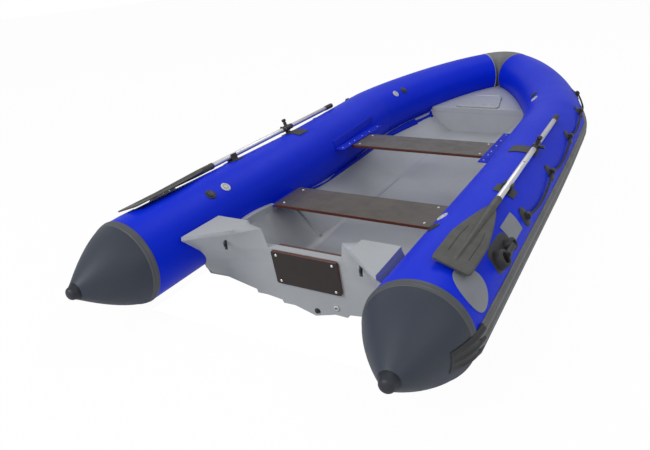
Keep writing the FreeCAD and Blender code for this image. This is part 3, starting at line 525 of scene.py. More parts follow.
# ---------------------------------------------------------------- bow patch
# Grey cloth covers the joint of the two tubes at the stem. It laps over both tubes,
# and a pale tape closes its port edge.
patch_grey = grained("patch_cloth", (0.165, 0.165, 0.168), (0.10, 0.10, 0.105), 0.45, 0.5, 5.0, 1400.0, 0.3)
seam_tape = grained("seam_tape", (0.36, 0.37, 0.38), (0.24, 0.25, 0.26), 0.5, 0.4, 8.0, 1400.0, 0.3)
patch_lift = np.full((49, 1), 0.0014)
patch_lift[0] = patch_lift[-1] = 0.0002
add_piece("bow_patch_skin", closed_grid(round_rows(patch_rows(-1.07, 1.07), around, patch_lift)), patch_grey,
          nodes=("bow_patch",))
tape_lift = np.array((0.0008, 0.0024, 0.0027, 0.0027, 0.0024, 0.0008))[:, None]
add_piece("bow_patch_tape", closed_grid(round_rows(patch_rows(-1.12, -1.00, 6), around, tape_lift)), seam_tape)

# ---------------------------------------------------------------- end cones
# Each tube ends in a cone of slate cloth, blown slightly full, with a taped seam at
# its rim and a rubber cap moulded on its point.
CONE_LENGTH, CONE_END, TIP_LENGTH = 0.300, 0.028, 0.023
slate = grained("cone_cloth", (0.034, 0.042, 0.060), (0.026, 0.032, 0.047), 0.44, 0.6, 3.0, 1400.0, 0.3,
                specular=0.4)
slate_tape = grained("cone_tape", (0.072, 0.077, 0.084), (0.045, 0.050, 0.060), 0.48, 0.5, 9.0, 1400.0, 0.3)
cap_rubber = grained("cap_rubber", (0.010, 0.013, 0.020), (0.02, 0.024, 0.032), 0.5, 0.5, 30.0, 900.0, 0.3)


def cone_skin(reaches, lifts, radii=None, angles=around):
    """Rings astern of the tube: radius falls from the tube's to the end's with a power of the reach."""
    share = np.asarray(reaches) / CONE_LENGTH
    plain = CONE_END + (TUBE_RADIUS - CONE_END) * (1 - np.abs(share) ** 1.40)
    radius = (plain if radii is None else radii)[:, None] + lifts
    turn = np.radians(angles)
    across = radius * np.cos(turn)
    reach = np.asarray(reaches)[:, None]
    return np.stack((HALF_SPREAD + across * math.cos(CONE_SPLAY) + reach * math.sin(CONE_SPLAY),
                     across * math.sin(CONE_SPLAY) - reach * math.cos(CONE_SPLAY),
                     TUBE_HEIGHT + radius * np.sin(turn)), -1)


cone_reach = np.linspace(0.0, CONE_LENGTH, 40)
tape_reach = np.array((0.000, 0.0012, 0.004, 0.017, 0.0185, 0.0195, 0.021, 0.030, 0.0325, 0.0335))
tape_rise = np.array((0.0004, 0.0018, 0.0023, 0.0023, 0.0012, 0.0012, 0.0018, 0.0018, 0.0012, 0.0002))
cap_turn = np.linspace(0.0, math.pi / 2, 12)
cap_reach = np.concatenate((np.array((-0.016, -0.0155)) + CONE_LENGTH, CONE_LENGTH + TIP_LENGTH * np.sin(cap_turn)))
cap_radius = np.concatenate((np.array((0.0395, 0.0410)), 0.0300 * np.cos(cap_turn) ** 0.7 + 0.0002))
for side, word in SIDES:
    add_piece("cone_skin_" + word, closed_grid(mirrored(cone_skin(cone_reach, 0.0), side)), slate,
              nodes=("cone_" + word,), crease=35.0)
    add_piece("cone_seam_" + word, closed_grid(mirrored(cone_skin(tape_reach, tape_rise[:, None]), side)),
              slate_tape)
    add_piece("cone_cap_" + word, closed_grid(mirrored(cone_skin(cap_reach, 0.0, cap_radius), side)), cap_rubber,
              nodes=("cone_tip_" + word,))

# ---------------------------------------------------------------- rubbing strakes
# A ribbed rubber fender is bonded round the outer side of each tube. It starts on the
# end cone under a dark patch and ends at the stem.
STRAKE_LOW, STRAKE_HIGH, STRAKE_DEPTH = -24.0, 12.0, 0.016
strake_rubber = grained("strake_rubber", (0.145, 0.143, 0.140), (0.07, 0.07, 0.068), 0.42, 0.5, 12.0, 1100.0, 0.3)
# near-black rubber: the own colour of the dark end patches, and painted shade in the valleys between the strake's ribs
groove_shade_and_end_rubber = grained("groove_shade_and_end_patch", (0.018, 0.018, 0.019), (0.05, 0.05, 0.05), 0.5, 0.4, 20.0, 1100.0, 0.3)
rib_share = np.array((0.0, 0.01, 0.06, 0.09, 0.13, 0.155, 0.245, 0.27, 0.33, 0.36, 0.415, 0.44, 0.56, 0.585,
                      0.64, 0.67, 0.73, 0.755, 0.845, 0.87, 0.91, 0.94, 0.99, 1.0))
rib_rise = np.array((0.0005, 0.003, 0.0035, 0.004, 0.0125, 0.0155, 0.0155, 0.0125, 0.006, 0.006, 0.013, 0.016,
                     0.016, 0.013, 0.006, 0.006, 0.0125, 0.0155, 0.0155, 0.0125, 0.004, 0.0035, 0.003, 0.0005))
rib_angles = STRAKE_LOW + (STRAKE_HIGH - STRAKE_LOW) * rib_share


def strake_grid(rows):
    """Ribbed outer side over the angles, low over its first 50 mm, closed by a plain underside."""
    ramp = np.clip(0.25 + 0.75 * rows[0][:, 1:2] / 0.05, 0.25, 1.0)
    return skin_on(rows, rib_angles, rib_rise[None] * ramp, 0.0003)


def run_on(first, second):
    """Two sets of rows as one."""
    return tuple(np.concatenate(pair) for pair in zip(first, second))


def rows_between(rows, low, high):
    """The rows whose centres lie between two stations."""
    keep = (rows[0][:, 1] > low) & (rows[0][:, 1] < high)
    return tuple(part[keep] for part in rows)


for side, word in SIDES:
    whole = run_on(tube_rows(0.012), patch_rows(0.98, 0.004, 24))
    add_piece("strake_skin_" + word, closed_grid(mirrored(strake_grid(whole), side)), strake_rubber,
              nodes=("rub_strake_" + word,), crease=28.0)
    # each valley between a pair of ribs gets a near-black strip laid just above its floor: painted shade in the
    # grooves
    groove_shade_strips = []
    for low, high in ((0.262, 0.423), (0.577, 0.738)):
        groove_angles = STRAKE_LOW + (STRAKE_HIGH - STRAKE_LOW) * np.linspace(low, high, 6)
        groove_rise = np.array((0.0105, 0.0073, 0.0066, 0.0066, 0.0073, 0.0105))[None]
        groove_shade_strips.append(closed_grid(mirrored(skin_on(whole, groove_angles, groove_rise, 0.0045), side)))
    add_piece("strake_groove_shade_" + word, joined(groove_shade_strips), groove_shade_and_end_rubber)

# the dark patch that closes each strake's aft end: ribbed rubber laid from the cone over
# the tape and on to the strake
END_LOW, END_HIGH, END_REACH, END_LIFT, END_UNDER = -18.0, 13.0, 0.128, 0.0032, 0.0008
end_angles = np.linspace(END_LOW, END_HIGH, 41)
end_ribs = 0.0022 + 0.0055 * np.clip(np.cos(np.radians((end_angles + 2.5) * 36.0)), 0.0, 1.0) ** 0.7
end_ribs *= np.clip(np.minimum(end_angles - END_LOW, END_HIGH - end_angles) / 2.0, 0.2, 1.0)
tail = np.linspace(END_REACH, 0.0, 30)
taper = np.clip((END_REACH + 0.002 - tail) / 0.05, 0.15, 1.0)[:, None]
ahead = rows_between(tube_rows(0.0), 0.0, 0.075)
rise = END_LIFT + end_ribs[None] + 0.006 * np.clip(ahead[0][:, 1:2] / 0.05, 0.0, 1.0)
on_cone = cone_skin(tail, END_LIFT + end_ribs[None] * taper, angles=end_angles)
under_cone = cone_skin(tail, END_UNDER, angles=end_angles)
outer = np.concatenate((on_cone, round_rows(ahead, end_angles, rise)), 0)
under = np.concatenate((under_cone, round_rows(ahead, end_angles, END_UNDER)), 0)
patch = np.concatenate((outer, under[:, ::-1]), 1)
for side, word in SIDES:
    add_piece("strake_end_" + word, closed_grid(mirrored(patch, side)), groove_shade_and_end_rubber, crease=50.0)

# ---------------------------------------------------------------- hull, liner and transom
# The rigid hull is moulded in glass fibre with a pale grey gelcoat: an outer V, a
# cockpit liner bonded into it, and a transom with two corner knees.
gelcoat = grained("gelcoat", (0.43, 0.445, 0.455), (0.34, 0.345, 0.35), 0.36, 0.5, 3.0, 500.0, 0.12, specular=0.5)
body_of_node = {node: body for body, nodes in frame["record"]["behaviour"]["bodies"].items() for node in nodes}


def finished(node, material, round_edge=0.0, segments=2, crease=35.0):
    """Copy of a CAD node with its loose triangles merged, soft edges and its own material."""
    mesh = frame["nodes"][node].data.copy()
    mesh.name = node + "_finished"
    mesh.materials.clear()
    mesh.materials.append(material)
    made = bpy.data.objects.new(node + "_finished", mesh)
    scene.collection.objects.link(made)
    shell = bmesh.new()
    shell.from_mesh(mesh)
    bmesh.ops.remove_doubles(shell, verts=shell.verts, dist=2e-5)
    bmesh.ops.dissolve_degenerate(shell, edges=shell.edges, dist=2e-5)
    if round_edge:
        bmesh.ops.dissolve_limit(shell, angle_limit=math.radians(1.5), verts=shell.verts, edges=shell.edges,
                                 delimit={"NORMAL"})
    for face in shell.faces:
        face.material_index = 0
    shell.to_mesh(mesh)
    shell.free()
    if round_edge:
        bevel = made.modifiers.new("soft_edges", "BEVEL")
        bevel.width = round_edge
        bevel.segments = segments
        bevel.limit_method = "ANGLE"
        bevel.angle_limit = math.radians(crease - 5.0)
    smooth_by_angle(made, crease)
    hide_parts(node)
    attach(made, body_of_node[node])
    return made


finished("hull_shell", gelcoat)
finished("cockpit_liner", gelcoat)
finished("transom_moulding", gelcoat, 0.006, 3)
finished("bow_locker_deck", gelcoat, 0.006, 3)

RIM_HIGH, RIM_LOW = 0.235, 0.150
FLOOR_HEIGHT, FLOOR_WIDTH, FLOOR_RISE_START, FLOOR_RISE, FLOOR_NARROWING, DECK_AFT = (
    -0.015, 0.290, 2.2, 0.080, 0.080, 3.190)


def rim_height(y):
    """Upper edge of the moulding on the tubes: eased from high aft to low amidships, plus the rise."""
    share = np.clip((y - 0.85) / 0.75, 0.0, 1.0)
    return RIM_HIGH + (RIM_LOW - RIM_HIGH) * share * share * (3 - 2 * share) + centre_height(y) - TUBE_HEIGHT


def wall_x(y):
    """Half width of the cockpit's upright wall: the tube's inner side at the rim, less 22 mm."""
    drop = centre_height(y) - rim_height(y)
    return centre_x(y) - np.sqrt(tube_radius(y) ** 2 - drop ** 2) - 0.022


def floor_line(y):
    """Height and half width of the cockpit floor, which rises and narrows forward."""
    share = np.clip((y - FLOOR_RISE_START) / (DECK_AFT - FLOOR_RISE_START), 0.0, None)
    return FLOOR_HEIGHT + FLOOR_RISE * share ** 1.3, FLOOR_WIDTH - FLOOR_NARROWING * share


# a rounded cove where the cockpit floor meets the walls, and one moulded rib up each wall
COVE_REACH = 0.032
cove_y = np.linspace(0.56, 3.17, 90)
cove_height, cove_width = floor_line(cove_y)
slope = np.stack((wall_x(cove_y) - cove_width, rim_height(cove_y) - 0.030 - cove_height), -1)
slope /= np.linalg.norm(slope, axis=1, keepdims=True)
bend = np.linspace(0.0, 1.0, 7)[:, None]
foot = np.stack((cove_width - COVE_REACH, cove_height + 0.0001), -1)[:, None] * np.ones((1, 7, 1))
corner = np.stack((cove_width, cove_height + 0.0001), -1)[:, None]
upper = corner + COVE_REACH * slope[:, None]
arc = foot * (1 - bend) ** 2 + 2 * corner * bend * (1 - bend) + upper * bend ** 2
profile = np.concatenate((arc, corner + 0.004 * np.array((0.6, -1.0))), 1)
cove = np.stack((profile[..., 0], np.broadcast_to(cove_y[:, None], profile[..., 0].shape), profile[..., 1]), -1)
coves = [closed_grid(mirrored(cove, side)) for side, _ in SIDES]
add_piece("cockpit_coves", joined(coves), gelcoat, crease=70.0)
ribs = []
for side, _ in SIDES:
    y = np.full(20, 1.055)
    height, width = floor_line(y)
    climb = np.linspace(0.06, 0.93, 20)
    run = np.stack((side * (width + (wall_x(y) - width) * climb), y,
                    height + (rim_height(y) - 0.03 - height) * climb), -1)
    ribs.append(swept(run, 0.009, 12, (0.0, 1.0, 0.0)))
add_piece("cockpit_ribs", joined(ribs), gelcoat)

# ---------------------------------------------------------------- joint bands
# Blue cloth bands are bonded over the joint of tube and hull. Inside, each band lies on
# the tube, crosses the moulding's rim and turns down over its edge.
for side, word in SIDES:
    rows = rows_between(tube_rows(0.60), 0.0, 3.30)
    y = rows[0][:, 1]
    rim_angle = 180.0 - np.degrees(np.arcsin((rim_height(y) - centre_height(y)) / tube_radius(y)))
    widen = np.clip((y - 1.5) / 1.5, 0.0, 1.0)
    wide = np.degrees((0.014 + 0.040 * widen) / tube_radius(y))
    share = np.linspace(0.0, 1.0, 8)
    angles = (rim_angle - wide)[:, None] + (wide + 1.0)[:, None] * share
    lift = np.array((0.0002, 0.0016, 0.0022, 0.0024, 0.0024, 0.0024, 0.0024, 0.0030))[None]
    over = round_rows(rows, angles, lift)
    inner = wall_x(y)
    fall = 0.010 + 0.034 * widen
    height, width = floor_line(y)
    lip = rim_height(y) + 0.0016
    low = rim_height(y) - np.minimum(fall, 0.030)
    beyond = np.maximum(0.0, fall - 0.030)
    lean = (inner - width) / np.maximum(0.05, rim_height(y) - 0.03 - height)
    extra = [(inner + 0.004, lip), (inner - 0.0016, lip - 0.002), (inner - 0.0022, low),
             (inner - 0.0022 - beyond * lean, low - beyond), (inner + 0.002 - beyond * lean, low - beyond - 0.001),
             (inner + 0.004, lip - 0.006)]
    edge = np.stack([np.stack((px, y, pz), -1) for px, pz in extra], 1)
    back_side = round_rows(rows, angles[:, ::-1], -0.0012)
    band = np.concatenate((over, edge, back_side), 1)
    add_piece("joint_band_" + word, closed_grid(mirrored(band, side)), seam_blue)
    strip = raised_strip(rows_between(tube_rows(0.30), 0.0, 3.62), -88.0, -70.0, 0.0016)
    add_piece("lower_band_" + word, closed_grid(mirrored(strip, side)), seam_blue)

# ---------------------------------------------------------------- thwarts and motor plates
# The two thwarts and the two clamp plates are film-faced plywood, dark brown on their
# faces, with varnished red-brown edges. Round-headed screws hold them.
film = grained("ply_film", (0.060, 0.045, 0.033), (0.030, 0.021, 0.015), 0.30, 0.7, 9.0, 260.0, 0.25,
               specular=0.55)
plate_film = grained("plate_film", (0.017, 0.0075, 0.0055), (0.009, 0.004, 0.003), 0.32, 0.6, 14.0, 260.0, 0.25)
screw_steel = grained("screw_steel", (0.72, 0.72, 0.70), (0.45, 0.45, 0.44), 0.28, 0.4, 60.0, 900.0, 0.1,
                      metallic=0.85)
PLY_THICK = 0.0014


def ply_edge(name, axis):
    """Varnished edge: thin layers that repeat along one axis, dark glue lines between red-brown plies."""
    material, tree, shader = new_material(name)
    place = shader_node(tree, "TexCoord")
    split = shader_node(tree, "SeparateXYZ")
    layers = shader_node(tree, "Math", {1: PLY_THICK}, operation="PINGPONG")
    look = shader_node(tree, "MapRange", {"From Max": PLY_THICK})
    mix = shader_node(tree, "Mix", {"A": (0.060, 0.014, 0.007, 1.0), "B": (0.200, 0.048, 0.022, 1.0)},
                      data_type="RGBA")
    fleck = shader_node(tree, "TexNoise", {"Scale": 45.0})
    blend = shader_node(tree, "Math", operation="MULTIPLY")
    wire(tree, (place.outputs["Object"], split.inputs[0]), (place.outputs["Object"], fleck.inputs["Vector"]),
         (split.outputs[axis], layers.inputs[0]), (layers.outputs[0], look.inputs["Value"]),
         (look.outputs["Result"], blend.inputs[0]), (fleck.outputs["Fac"], blend.inputs[1]),
         (blend.outputs[0], mix.inputs["Factor"]), (mix.outputs["Result"], shader.inputs["Base Color"]))
    shader.inputs["Roughness"].default_value = 0.35
    return material


def faced(made, edge_material, normal):
    """Gives the edge material to every face that doesn't look along the normal."""
    made.data.materials.append(edge_material)
    directions = np.empty(len(made.data.polygons) * 3)
    made.data.polygons.foreach_get("normal", directions)
    flat = np.abs(directions.reshape(-1, 3) @ np.asarray(normal, float))
    made.data.polygons.foreach_set("material_index", np.where(flat > 0.8, 0, 1).astype(np.int32))
    return made


def spun(profile, centre, axis, sides=20):
    """Solid of revolution: profile of (radius, height) turned about the axis through the centre."""
    axis = np.asarray(axis, float) / np.linalg.norm(axis)
    first = np.cross(axis, (0.0, 0.0, 1.0) if abs(axis[2]) < 0.9 else (1.0, 0.0, 0.0))
    first /= np.linalg.norm(first)
    second = np.cross(axis, first)
    turn = np.linspace(0.0, 2 * math.pi, sides, endpoint=False)
    profile = np.asarray(profile, float)
    rings = (np.asarray(centre, float) + profile[:, 1, None, None] * axis
             + profile[:, 0, None, None] * (np.cos(turn)[:, None] * first + np.sin(turn)[:, None] * second))
    return closed_grid(rings)


SCREW = ((0.0072, -0.001), (0.0072, 0.0006), (0.0062, 0.0020), (0.0040, 0.0031), (0.0030, 0.0031), (0.0022, 0.0021),
         (0.0003, 0.0021))
seat_edge = ply_edge("seat_edge", "Z")
plate_edge = ply_edge("plate_edge", "Y")
TRANSOM_SLOPE = 0.1615
lean = math.atan(TRANSOM_SLOPE)
plate_normal = np.array((0.0, -math.cos(lean), -math.sin(lean)))
plate_up = np.array((0.0, -math.sin(lean), math.cos(lean)))
screws = []
for node in ("seat_aft", "seat_forward"):
    faced(finished(node, film, 0.0022, 2), seat_edge, (0, 0, 1))
    low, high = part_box(node)
    middle = (low[1] + high[1]) / 2
    for x in (-0.408, 0.408):
        for y in (middle - 0.103, middle + 0.103):
            screws.append(spun(SCREW, (x, y, high[2]), (0, 0, 1)))
faced(finished("motor_plate_outer", plate_film, 0.0018, 2), plate_edge, plate_normal)
faced(finished("motor_plate_inner", plate_film, 0.0018, 2), plate_edge, (0, 1, 0))
PLATE_MIDDLE, INNER_FACE = 0.148, 0.4644
plate_centre = np.array((0.0, 0.4131, PLATE_MIDDLE)) + plate_normal * 0.0154
for x in (-0.150, 0.150):
    for rise in (-0.075, 0.075):
        screws.append(spun(SCREW, plate_centre + np.array((x, 0, 0)) + rise * plate_up, plate_normal))
        screws.append(spun(SCREW, (x, INNER_FACE, PLATE_MIDDLE + rise), (0, 1, 0)))
add_piece("board_screws", joined(screws), screw_steel, crease=35.0)

# ---------------------------------------------------------------- thwart brackets
# Blue cloth tongues glued to the tubes hold the thwarts: riveted on top of the forward
# one, folded under the aft one.
BRACKET_TOP = 0.329
RIVET = [(0.62 * wide, 0.6 * high) for wide, high in SCREW]


def level_rows(y):
    """Centres, directions straight across and radii of the starboard tube at the stations y."""
    return (np.stack((centre_x(y), y, centre_height(y)), -1), np.stack((1 + 0 * y, 0 * y, 0 * y), -1),
            tube_radius(y))


share = np.linspace(0.0, 1.0, 12)
lower_edge = math.degrees(math.asin((BRACKET_TOP - TUBE_HEIGHT) / TUBE_RADIUS))
flap_angles = (180.0 - lower_edge - 14.0) + 15.0 * share[None] * np.ones((24, 1))
flap = skin_on(level_rows(np.linspace(1.67, 2.285, 24)), flap_angles,
               np.minimum(0.0016, 0.0004 + 0.01 * np.minimum(share, 1 - share))[None], -0.001)
rivets, flaps = [], []
for side, word in SIDES:
    for place in ("aft", "forward"):
        finished("seat_bracket_%s_%s" % (place, word), seam_blue, 0.002, 2)
    for y in (1.70, 1.80, 1.875, 1.995, 2.11, 2.25):
        rivets.append(spun(RIVET, (side * 0.468, y, BRACKET_TOP + 0.0034), (0, 0, 1), 14))
    flaps.append(closed_grid(mirrored(flap, side)))
add_piece("bracket_rivets", joined(rivets), screw_steel, crease=35.0)
add_piece("bracket_flaps", joined(flaps), seam_blue)

# ---------------------------------------------------------------- locker lid
# The bow locker's lid is a moulded gelcoat panel on a piano hinge. It has two finger
# recesses by its aft edge and sits on a dark gasket.
dark_seal = grained("dark_seal", (0.05, 0.05, 0.052), (0.02, 0.02, 0.02), 0.6, 0.4, 40.0, 900.0, 0.3)
finished("locker_lid", gelcoat, 0.004, 3)
lid_low, lid_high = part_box("locker_lid")
lid_slope = math.radians(3.4)


def on_lid(x, y, lift=0.0):
    """Point above the lid's top face: its height falls aft with the deck's slope."""
    return (x, y, 0.2898 + 0.0125 + math.tan(lid_slope) * (y - 3.54) + lift)


lid_bits = []
for x in (-0.085, 0.085):
    run = np.array([on_lid(x + 0.045 * math.cos(a), 3.262 + 0.014 * math.sin(a), 0.0006)
                    for a in np.linspace(0, 2 * math.pi, 33)])
    lid_bits.append(swept(run, 0.0022, 6))
hinge = np.array([on_lid(x, 3.541, -0.004) for x in np.linspace(-0.115, 0.115, 12)])
add_piece("lid_finger_rims", joined(lid_bits), gelcoat, "lid")
add_piece("lid_hinge_pin", swept(hinge, 0.0042, 10), screw_steel, "boat")

# ---------------------------------------------------------------- oars
# Each oar is a satin aluminium tube with a black foam grip and a moulded blade. It lies
# along its tube in a rowlock collar and a rubber clip.
shaft_metal = grained("shaft_metal", (0.78, 0.78, 0.78), (0.60, 0.60, 0.60), 0.30, 0.4, 18.0, 700.0, 0.1,
                      metallic=0.75)
blade_plastic = grained("blade_plastic", (0.062, 0.060, 0.053), (0.035, 0.034, 0.030), 0.46, 0.5, 16.0, 800.0, 0.3)
black_rubber = grained("black_rubber", (0.016, 0.016, 0.017), (0.045, 0.045, 0.045), 0.52, 0.5, 25.0, 900.0, 0.3)
black_plastic = grained("black_plastic", (0.018, 0.018, 0.019), (0.04, 0.04, 0.04), 0.38, 0.4, 30.0, 900.0, 0.2)
OAR_ANGLE, OAR_STANDOFF, OAR_PITCH, ROWLOCK_Y = 70.5, 0.034, math.radians(0.73), 1.530
oar_tilt = math.radians(90.0 - OAR_ANGLE)
oar_x = np.array((math.cos(oar_tilt), 0.0, -math.sin(oar_tilt)))
oar_z0 = np.array((math.sin(oar_tilt), 0.0, math.cos(oar_tilt)))
oar_y = math.cos(OAR_PITCH) * np.array((0.0, 1.0, 0.0)) + math.sin(OAR_PITCH) * oar_z0
oar_z = math.cos(OAR_PITCH) * oar_z0 - math.sin(OAR_PITCH) * np.array((0.0, 1.0, 0.0))
oar_centre = on_tube(ROWLOCK_Y, OAR_ANGLE, OAR_STANDOFF).reshape(3)


def oar_points(points, side):
    """Points given in the oar's own axes (across, along to the grip, off the tube) in the boat's."""
    points = np.asarray(points, float)
    placed = oar_centre + points[..., :1] * oar_x + points[..., 1:2] * oar_y + points[..., 2:] * oar_z
    return mirrored(placed, side)


def oar_run(along, radius, side, sides=28):
    """Round piece on the oar's own axis with a radius at each distance along it."""
    turn = np.linspace(0, 2 * math.pi, sides, endpoint=False)
    radius = np.asarray(radius, float)[:, None]
    ring = np.stack((radius * np.cos(turn), np.broadcast_to(np.asarray(along)[:, None], (len(along), sides)),
                     radius * np.sin(turn)), -1)
    return closed_grid(oar_points(ring, side))


BLADE_HALF, BLADE_NECK, BLADE_TIP = 0.075, -0.810, -1.410
SLOT_SECTION = ((-1, 0.0034), (-0.9, 0.0040), (0.9, 0.0040), (1, 0.0034), (0.9, 0.0025), (-0.9, 0.0025))
for side, word in SIDES:
    body = "oar_" + word
    add_piece("oar_tube_" + word, oar_run((-0.870, -0.869, 0.524, 0.525), (0.0135, 0.0145, 0.0145, 0.0135), side),
              shaft_metal, body, ("oar_shaft_" + word,))
    finished("rowlock_swivel_" + word, black_plastic, 0.0015, 2)
    grip_y = np.concatenate(((0.5250, 0.5255), np.linspace(0.530, 0.612, 42), (0.6190, 0.6204)))
    grip_r = np.concatenate(((0.0150, 0.0164), 0.0166 + 0.0004 * np.cos(np.linspace(0, 26 * math.pi, 42)),
                             (0.0155, 0.006)))
    add_piece("oar_handgrip_" + word, oar_run(grip_y, grip_r, side), black_rubber, body,
              ("oar_grip_" + word,))
    along = np.linspace(BLADE_TIP, BLADE_NECK, 110)
    reach = np.clip((BLADE_NECK - along) / 0.60, 0.0, 1.0)
    half = 0.0155 + (BLADE_HALF - 0.0155) * np.clip((reach - 0.10) / 0.52, 0, 1) ** 0.72
    half = np.where(reach > 0.955, half * np.sqrt(np.clip(1 - ((reach - 0.955) / 0.05) ** 2 * 0.20, 0, 1)), half)
    across = np.linspace(-1.0, 1.0, 61)
    px = half[:, None] * across
    spine_half = 0.0175 - 0.0105 * np.clip((reach - 0.15) / 0.75, 0, 1)
    spine = np.where(np.abs(px) < spine_half[:, None], np.sqrt(np.clip(1 - (px / spine_half[:, None]) ** 2, 0, 1)), 0)
    spine_rise = (spine_half - 0.0035)[:, None] * spine * np.clip((0.93 - reach[:, None]) / 0.08, 0, 1)
    plate_half = 0.0035 * np.clip((1 - np.abs(across)[None]) / 0.05, 0.25, 1.0)
    flat_y = np.broadcast_to(along[:, None], px.shape)
    top = np.stack((px, flat_y, plate_half + spine_rise), -1)
    under = np.stack((px, flat_y, -plate_half - spine_rise), -1)[:, ::-1]
    blade_grid = closed_grid(oar_points(np.concatenate((top, under), 1), side))
    slots = []
    for across_share in (-0.55, 0.55):
        pick = (reach > 0.46) & (reach < 0.87)
        middle = across_share * half[pick] * (1.0 - 0.10 * np.abs(reach[pick] - 0.60))
        wide = 0.0021 * np.sqrt(np.clip(1 - ((reach[pick] - 0.665) / 0.21) ** 8, 0.05, 1))
        rings = [np.stack((middle + edge * wide, along[pick], np.full(pick.sum(), height)), -1)
                 for edge, height in SLOT_SECTION]
        slots.append(closed_grid(oar_points(np.stack(rings, 1), side)))
    add_piece("oar_slots_" + word, joined(slots), black_rubber, body)
    socket = oar_run((-0.958, -0.950, -0.80, -0.797, -0.775, -0.7735),
                     (0.0145, 0.0165, 0.0168, 0.0180, 0.0180, 0.0150), side)
    add_piece("oar_paddle_" + word, joined([blade_grid, socket]), blade_plastic, body,
              ("oar_blade_" + word,), crease=50.0)
    collars = [oar_run((y - 0.012, y - 0.0115, y + 0.0115, y + 0.012), (0.0147, 0.0168, 0.0168, 0.0147), side)
               for y in (0.045, -0.045)]
    knob = spun(((0.006, 0.0), (0.0065, 0.008), (0.012, 0.010), (0.014, 0.014), (0.014, 0.022), (0.012, 0.026),
                 (0.004, 0.0275)), oar_points(np.array((0.0, 0.0, 0.034)), side), mirrored(oar_z, side))
    add_piece("rowlock_trim_" + word, joined(collars + [knob]), black_plastic, body)
    dimple = spun(((0.0046, 0.0), (0.0046, 0.0008), (0.0030, 0.0009), (0.0002, 0.0004)),
                  oar_points(np.array((0.0, -0.30, 0.0142)), side), mirrored(oar_z, side), 14)
    add_piece("oar_button_" + word, dimple, plate_film, body)
    finished("rowlock_base_" + word, black_rubber, 0.0018, 2)
    finished("oar_clip_" + word, black_rubber, 0.0030, 3)

# ---------------------------------------------------------------- valves
# Each tube has two air chambers. Each chamber has a black inflation valve with a ribbed
# cap and a white relief valve with a ring of vents, clamped in the cloth.
white_plastic = grained("white_plastic", (0.62, 0.62, 0.60), (0.42, 0.42, 0.40), 0.4, 0.5, 30.0, 900.0, 0.15)


def tube_normal(y, angle, side):
    """Unit normal of the tube's surface at y and an angle above outboard."""
    normal = on_tube(y, angle, 0.01, side) - on_tube(y, angle, 0.0, side)
    return (normal / np.linalg.norm(normal)).reshape(3)


def spun_on_tube(profile, y, angle, side, sides):
    """Solid of revolution that stands on the tube's surface, about its normal there."""
    return spun(profile, on_tube(y, angle, 0.0, side).reshape(3), tube_normal(y, angle, side), sides)


VALVE_CAP = ((0.029, -0.006), (0.029, 0.002), (0.0265, 0.0042), (0.0225, 0.0046), (0.0215, 0.0030),
             (0.0200, 0.0030), (0.0195, 0.0068), (0.0175, 0.0080), (0.0040, 0.0080), (0.0030, 0.0068),
             (0.0002, 0.0068))
VENT_CAP = ((0.027, -0.006), (0.027, 0.0022), (0.0245, 0.0042), (0.0205, 0.0046), (0.0195, 0.0034),
            (0.0080, 0.0034), (0.0070, 0.0048), (0.0002, 0.0052))
VENT_HOLE = ((0.0026, -0.001), (0.0026, 0.0004), (0.0002, 0.0005))
for side, word in SIDES:
    caps, vents, holes = [], [], []
    for y, angle, vented in ((0.492, 125.0, False), (2.878, 134.0, False), (0.612, 126.0, True), (2.770, 134.0, True)):
        seat = on_tube(y, angle, 0.0, side).reshape(3)
        normal = tube_normal(y, angle, side)
        flat_along = np.array((0.0, 1.0, 0.0)) - normal * normal[1]
        flat_across = np.cross(normal, flat_along)
        if vented:
            vents.append(spun_on_tube(VENT_CAP, y, angle, side, 40))
            for turn in np.linspace(0, 2 * math.pi, 8, endpoint=False):
                spot = seat + normal * 0.0033 + 0.0138 * (math.cos(turn) * flat_along + math.sin(turn) * flat_across)
                holes.append(spun(VENT_HOLE, spot, normal, 10))
        else:
            caps.append(spun_on_tube(VALVE_CAP, y, angle, side, 40))
            bar = seat + normal * 0.0075 + np.linspace(-0.0165, 0.0165, 9)[:, None] * flat_across
            caps.append(swept(bar, 0.0034, 10, normal))
    add_piece("air_valves_" + word, joined(caps), black_plastic,
              nodes=("inflation_valves_" + word,), crease=40.0)
    add_piece("vent_valves_" + word, joined(vents), white_plastic,
              nodes=("relief_valves_" + word,), crease=40.0)
    add_piece("vent_holes_" + word, joined(holes), black_plastic)

# ---------------------------------------------------------------- line holders and handles
# Moulded rubber holders carry the grab line. Aft of them each side has a carry handle:
# a glued pad with a round bar between two thick feet.
HOLDERS = ((3.060, 34.0), (2.577, 38.0), (2.069, 34.0), (1.461, 33.0), (0.858, 32.0))
HOLDER_FOOT = ((0.045, -0.004), (0.045, 0.0006), (0.040, 0.0024), (0.026, 0.004), (0.0235, 0.0075), (0.010, 0.0085),
               (0.0002, 0.0085))
HANDLE_ANGLE = 33.0


def rounded_pad(y_from, y_to, angle_from, angle_to, rise, side):
    """Pad on the tube between two stations and two angles, its outline a curve of the fourth power."""
    share = (1 - np.cos(np.linspace(0.02, math.pi - 0.02, 27))) / 2
    wide = (1 - np.abs(2 * share - 1) ** 4.0) ** (1 / 4.0)
    spot = np.linspace(-1.0, 1.0, 19)
    angles = (angle_from + angle_to) / 2 + (angle_to - angle_from) / 2 * wide[:, None] * spot
    edge = np.clip(np.minimum(1 - np.abs(spot)[None], 1 - np.abs(2 * share - 1)[:, None]) / 0.08, 0.15, 1.0)
    pad = skin_on(level_rows(y_from + (y_to - y_from) * share), angles, rise * edge, -0.001)
    return closed_grid(mirrored(pad, side))


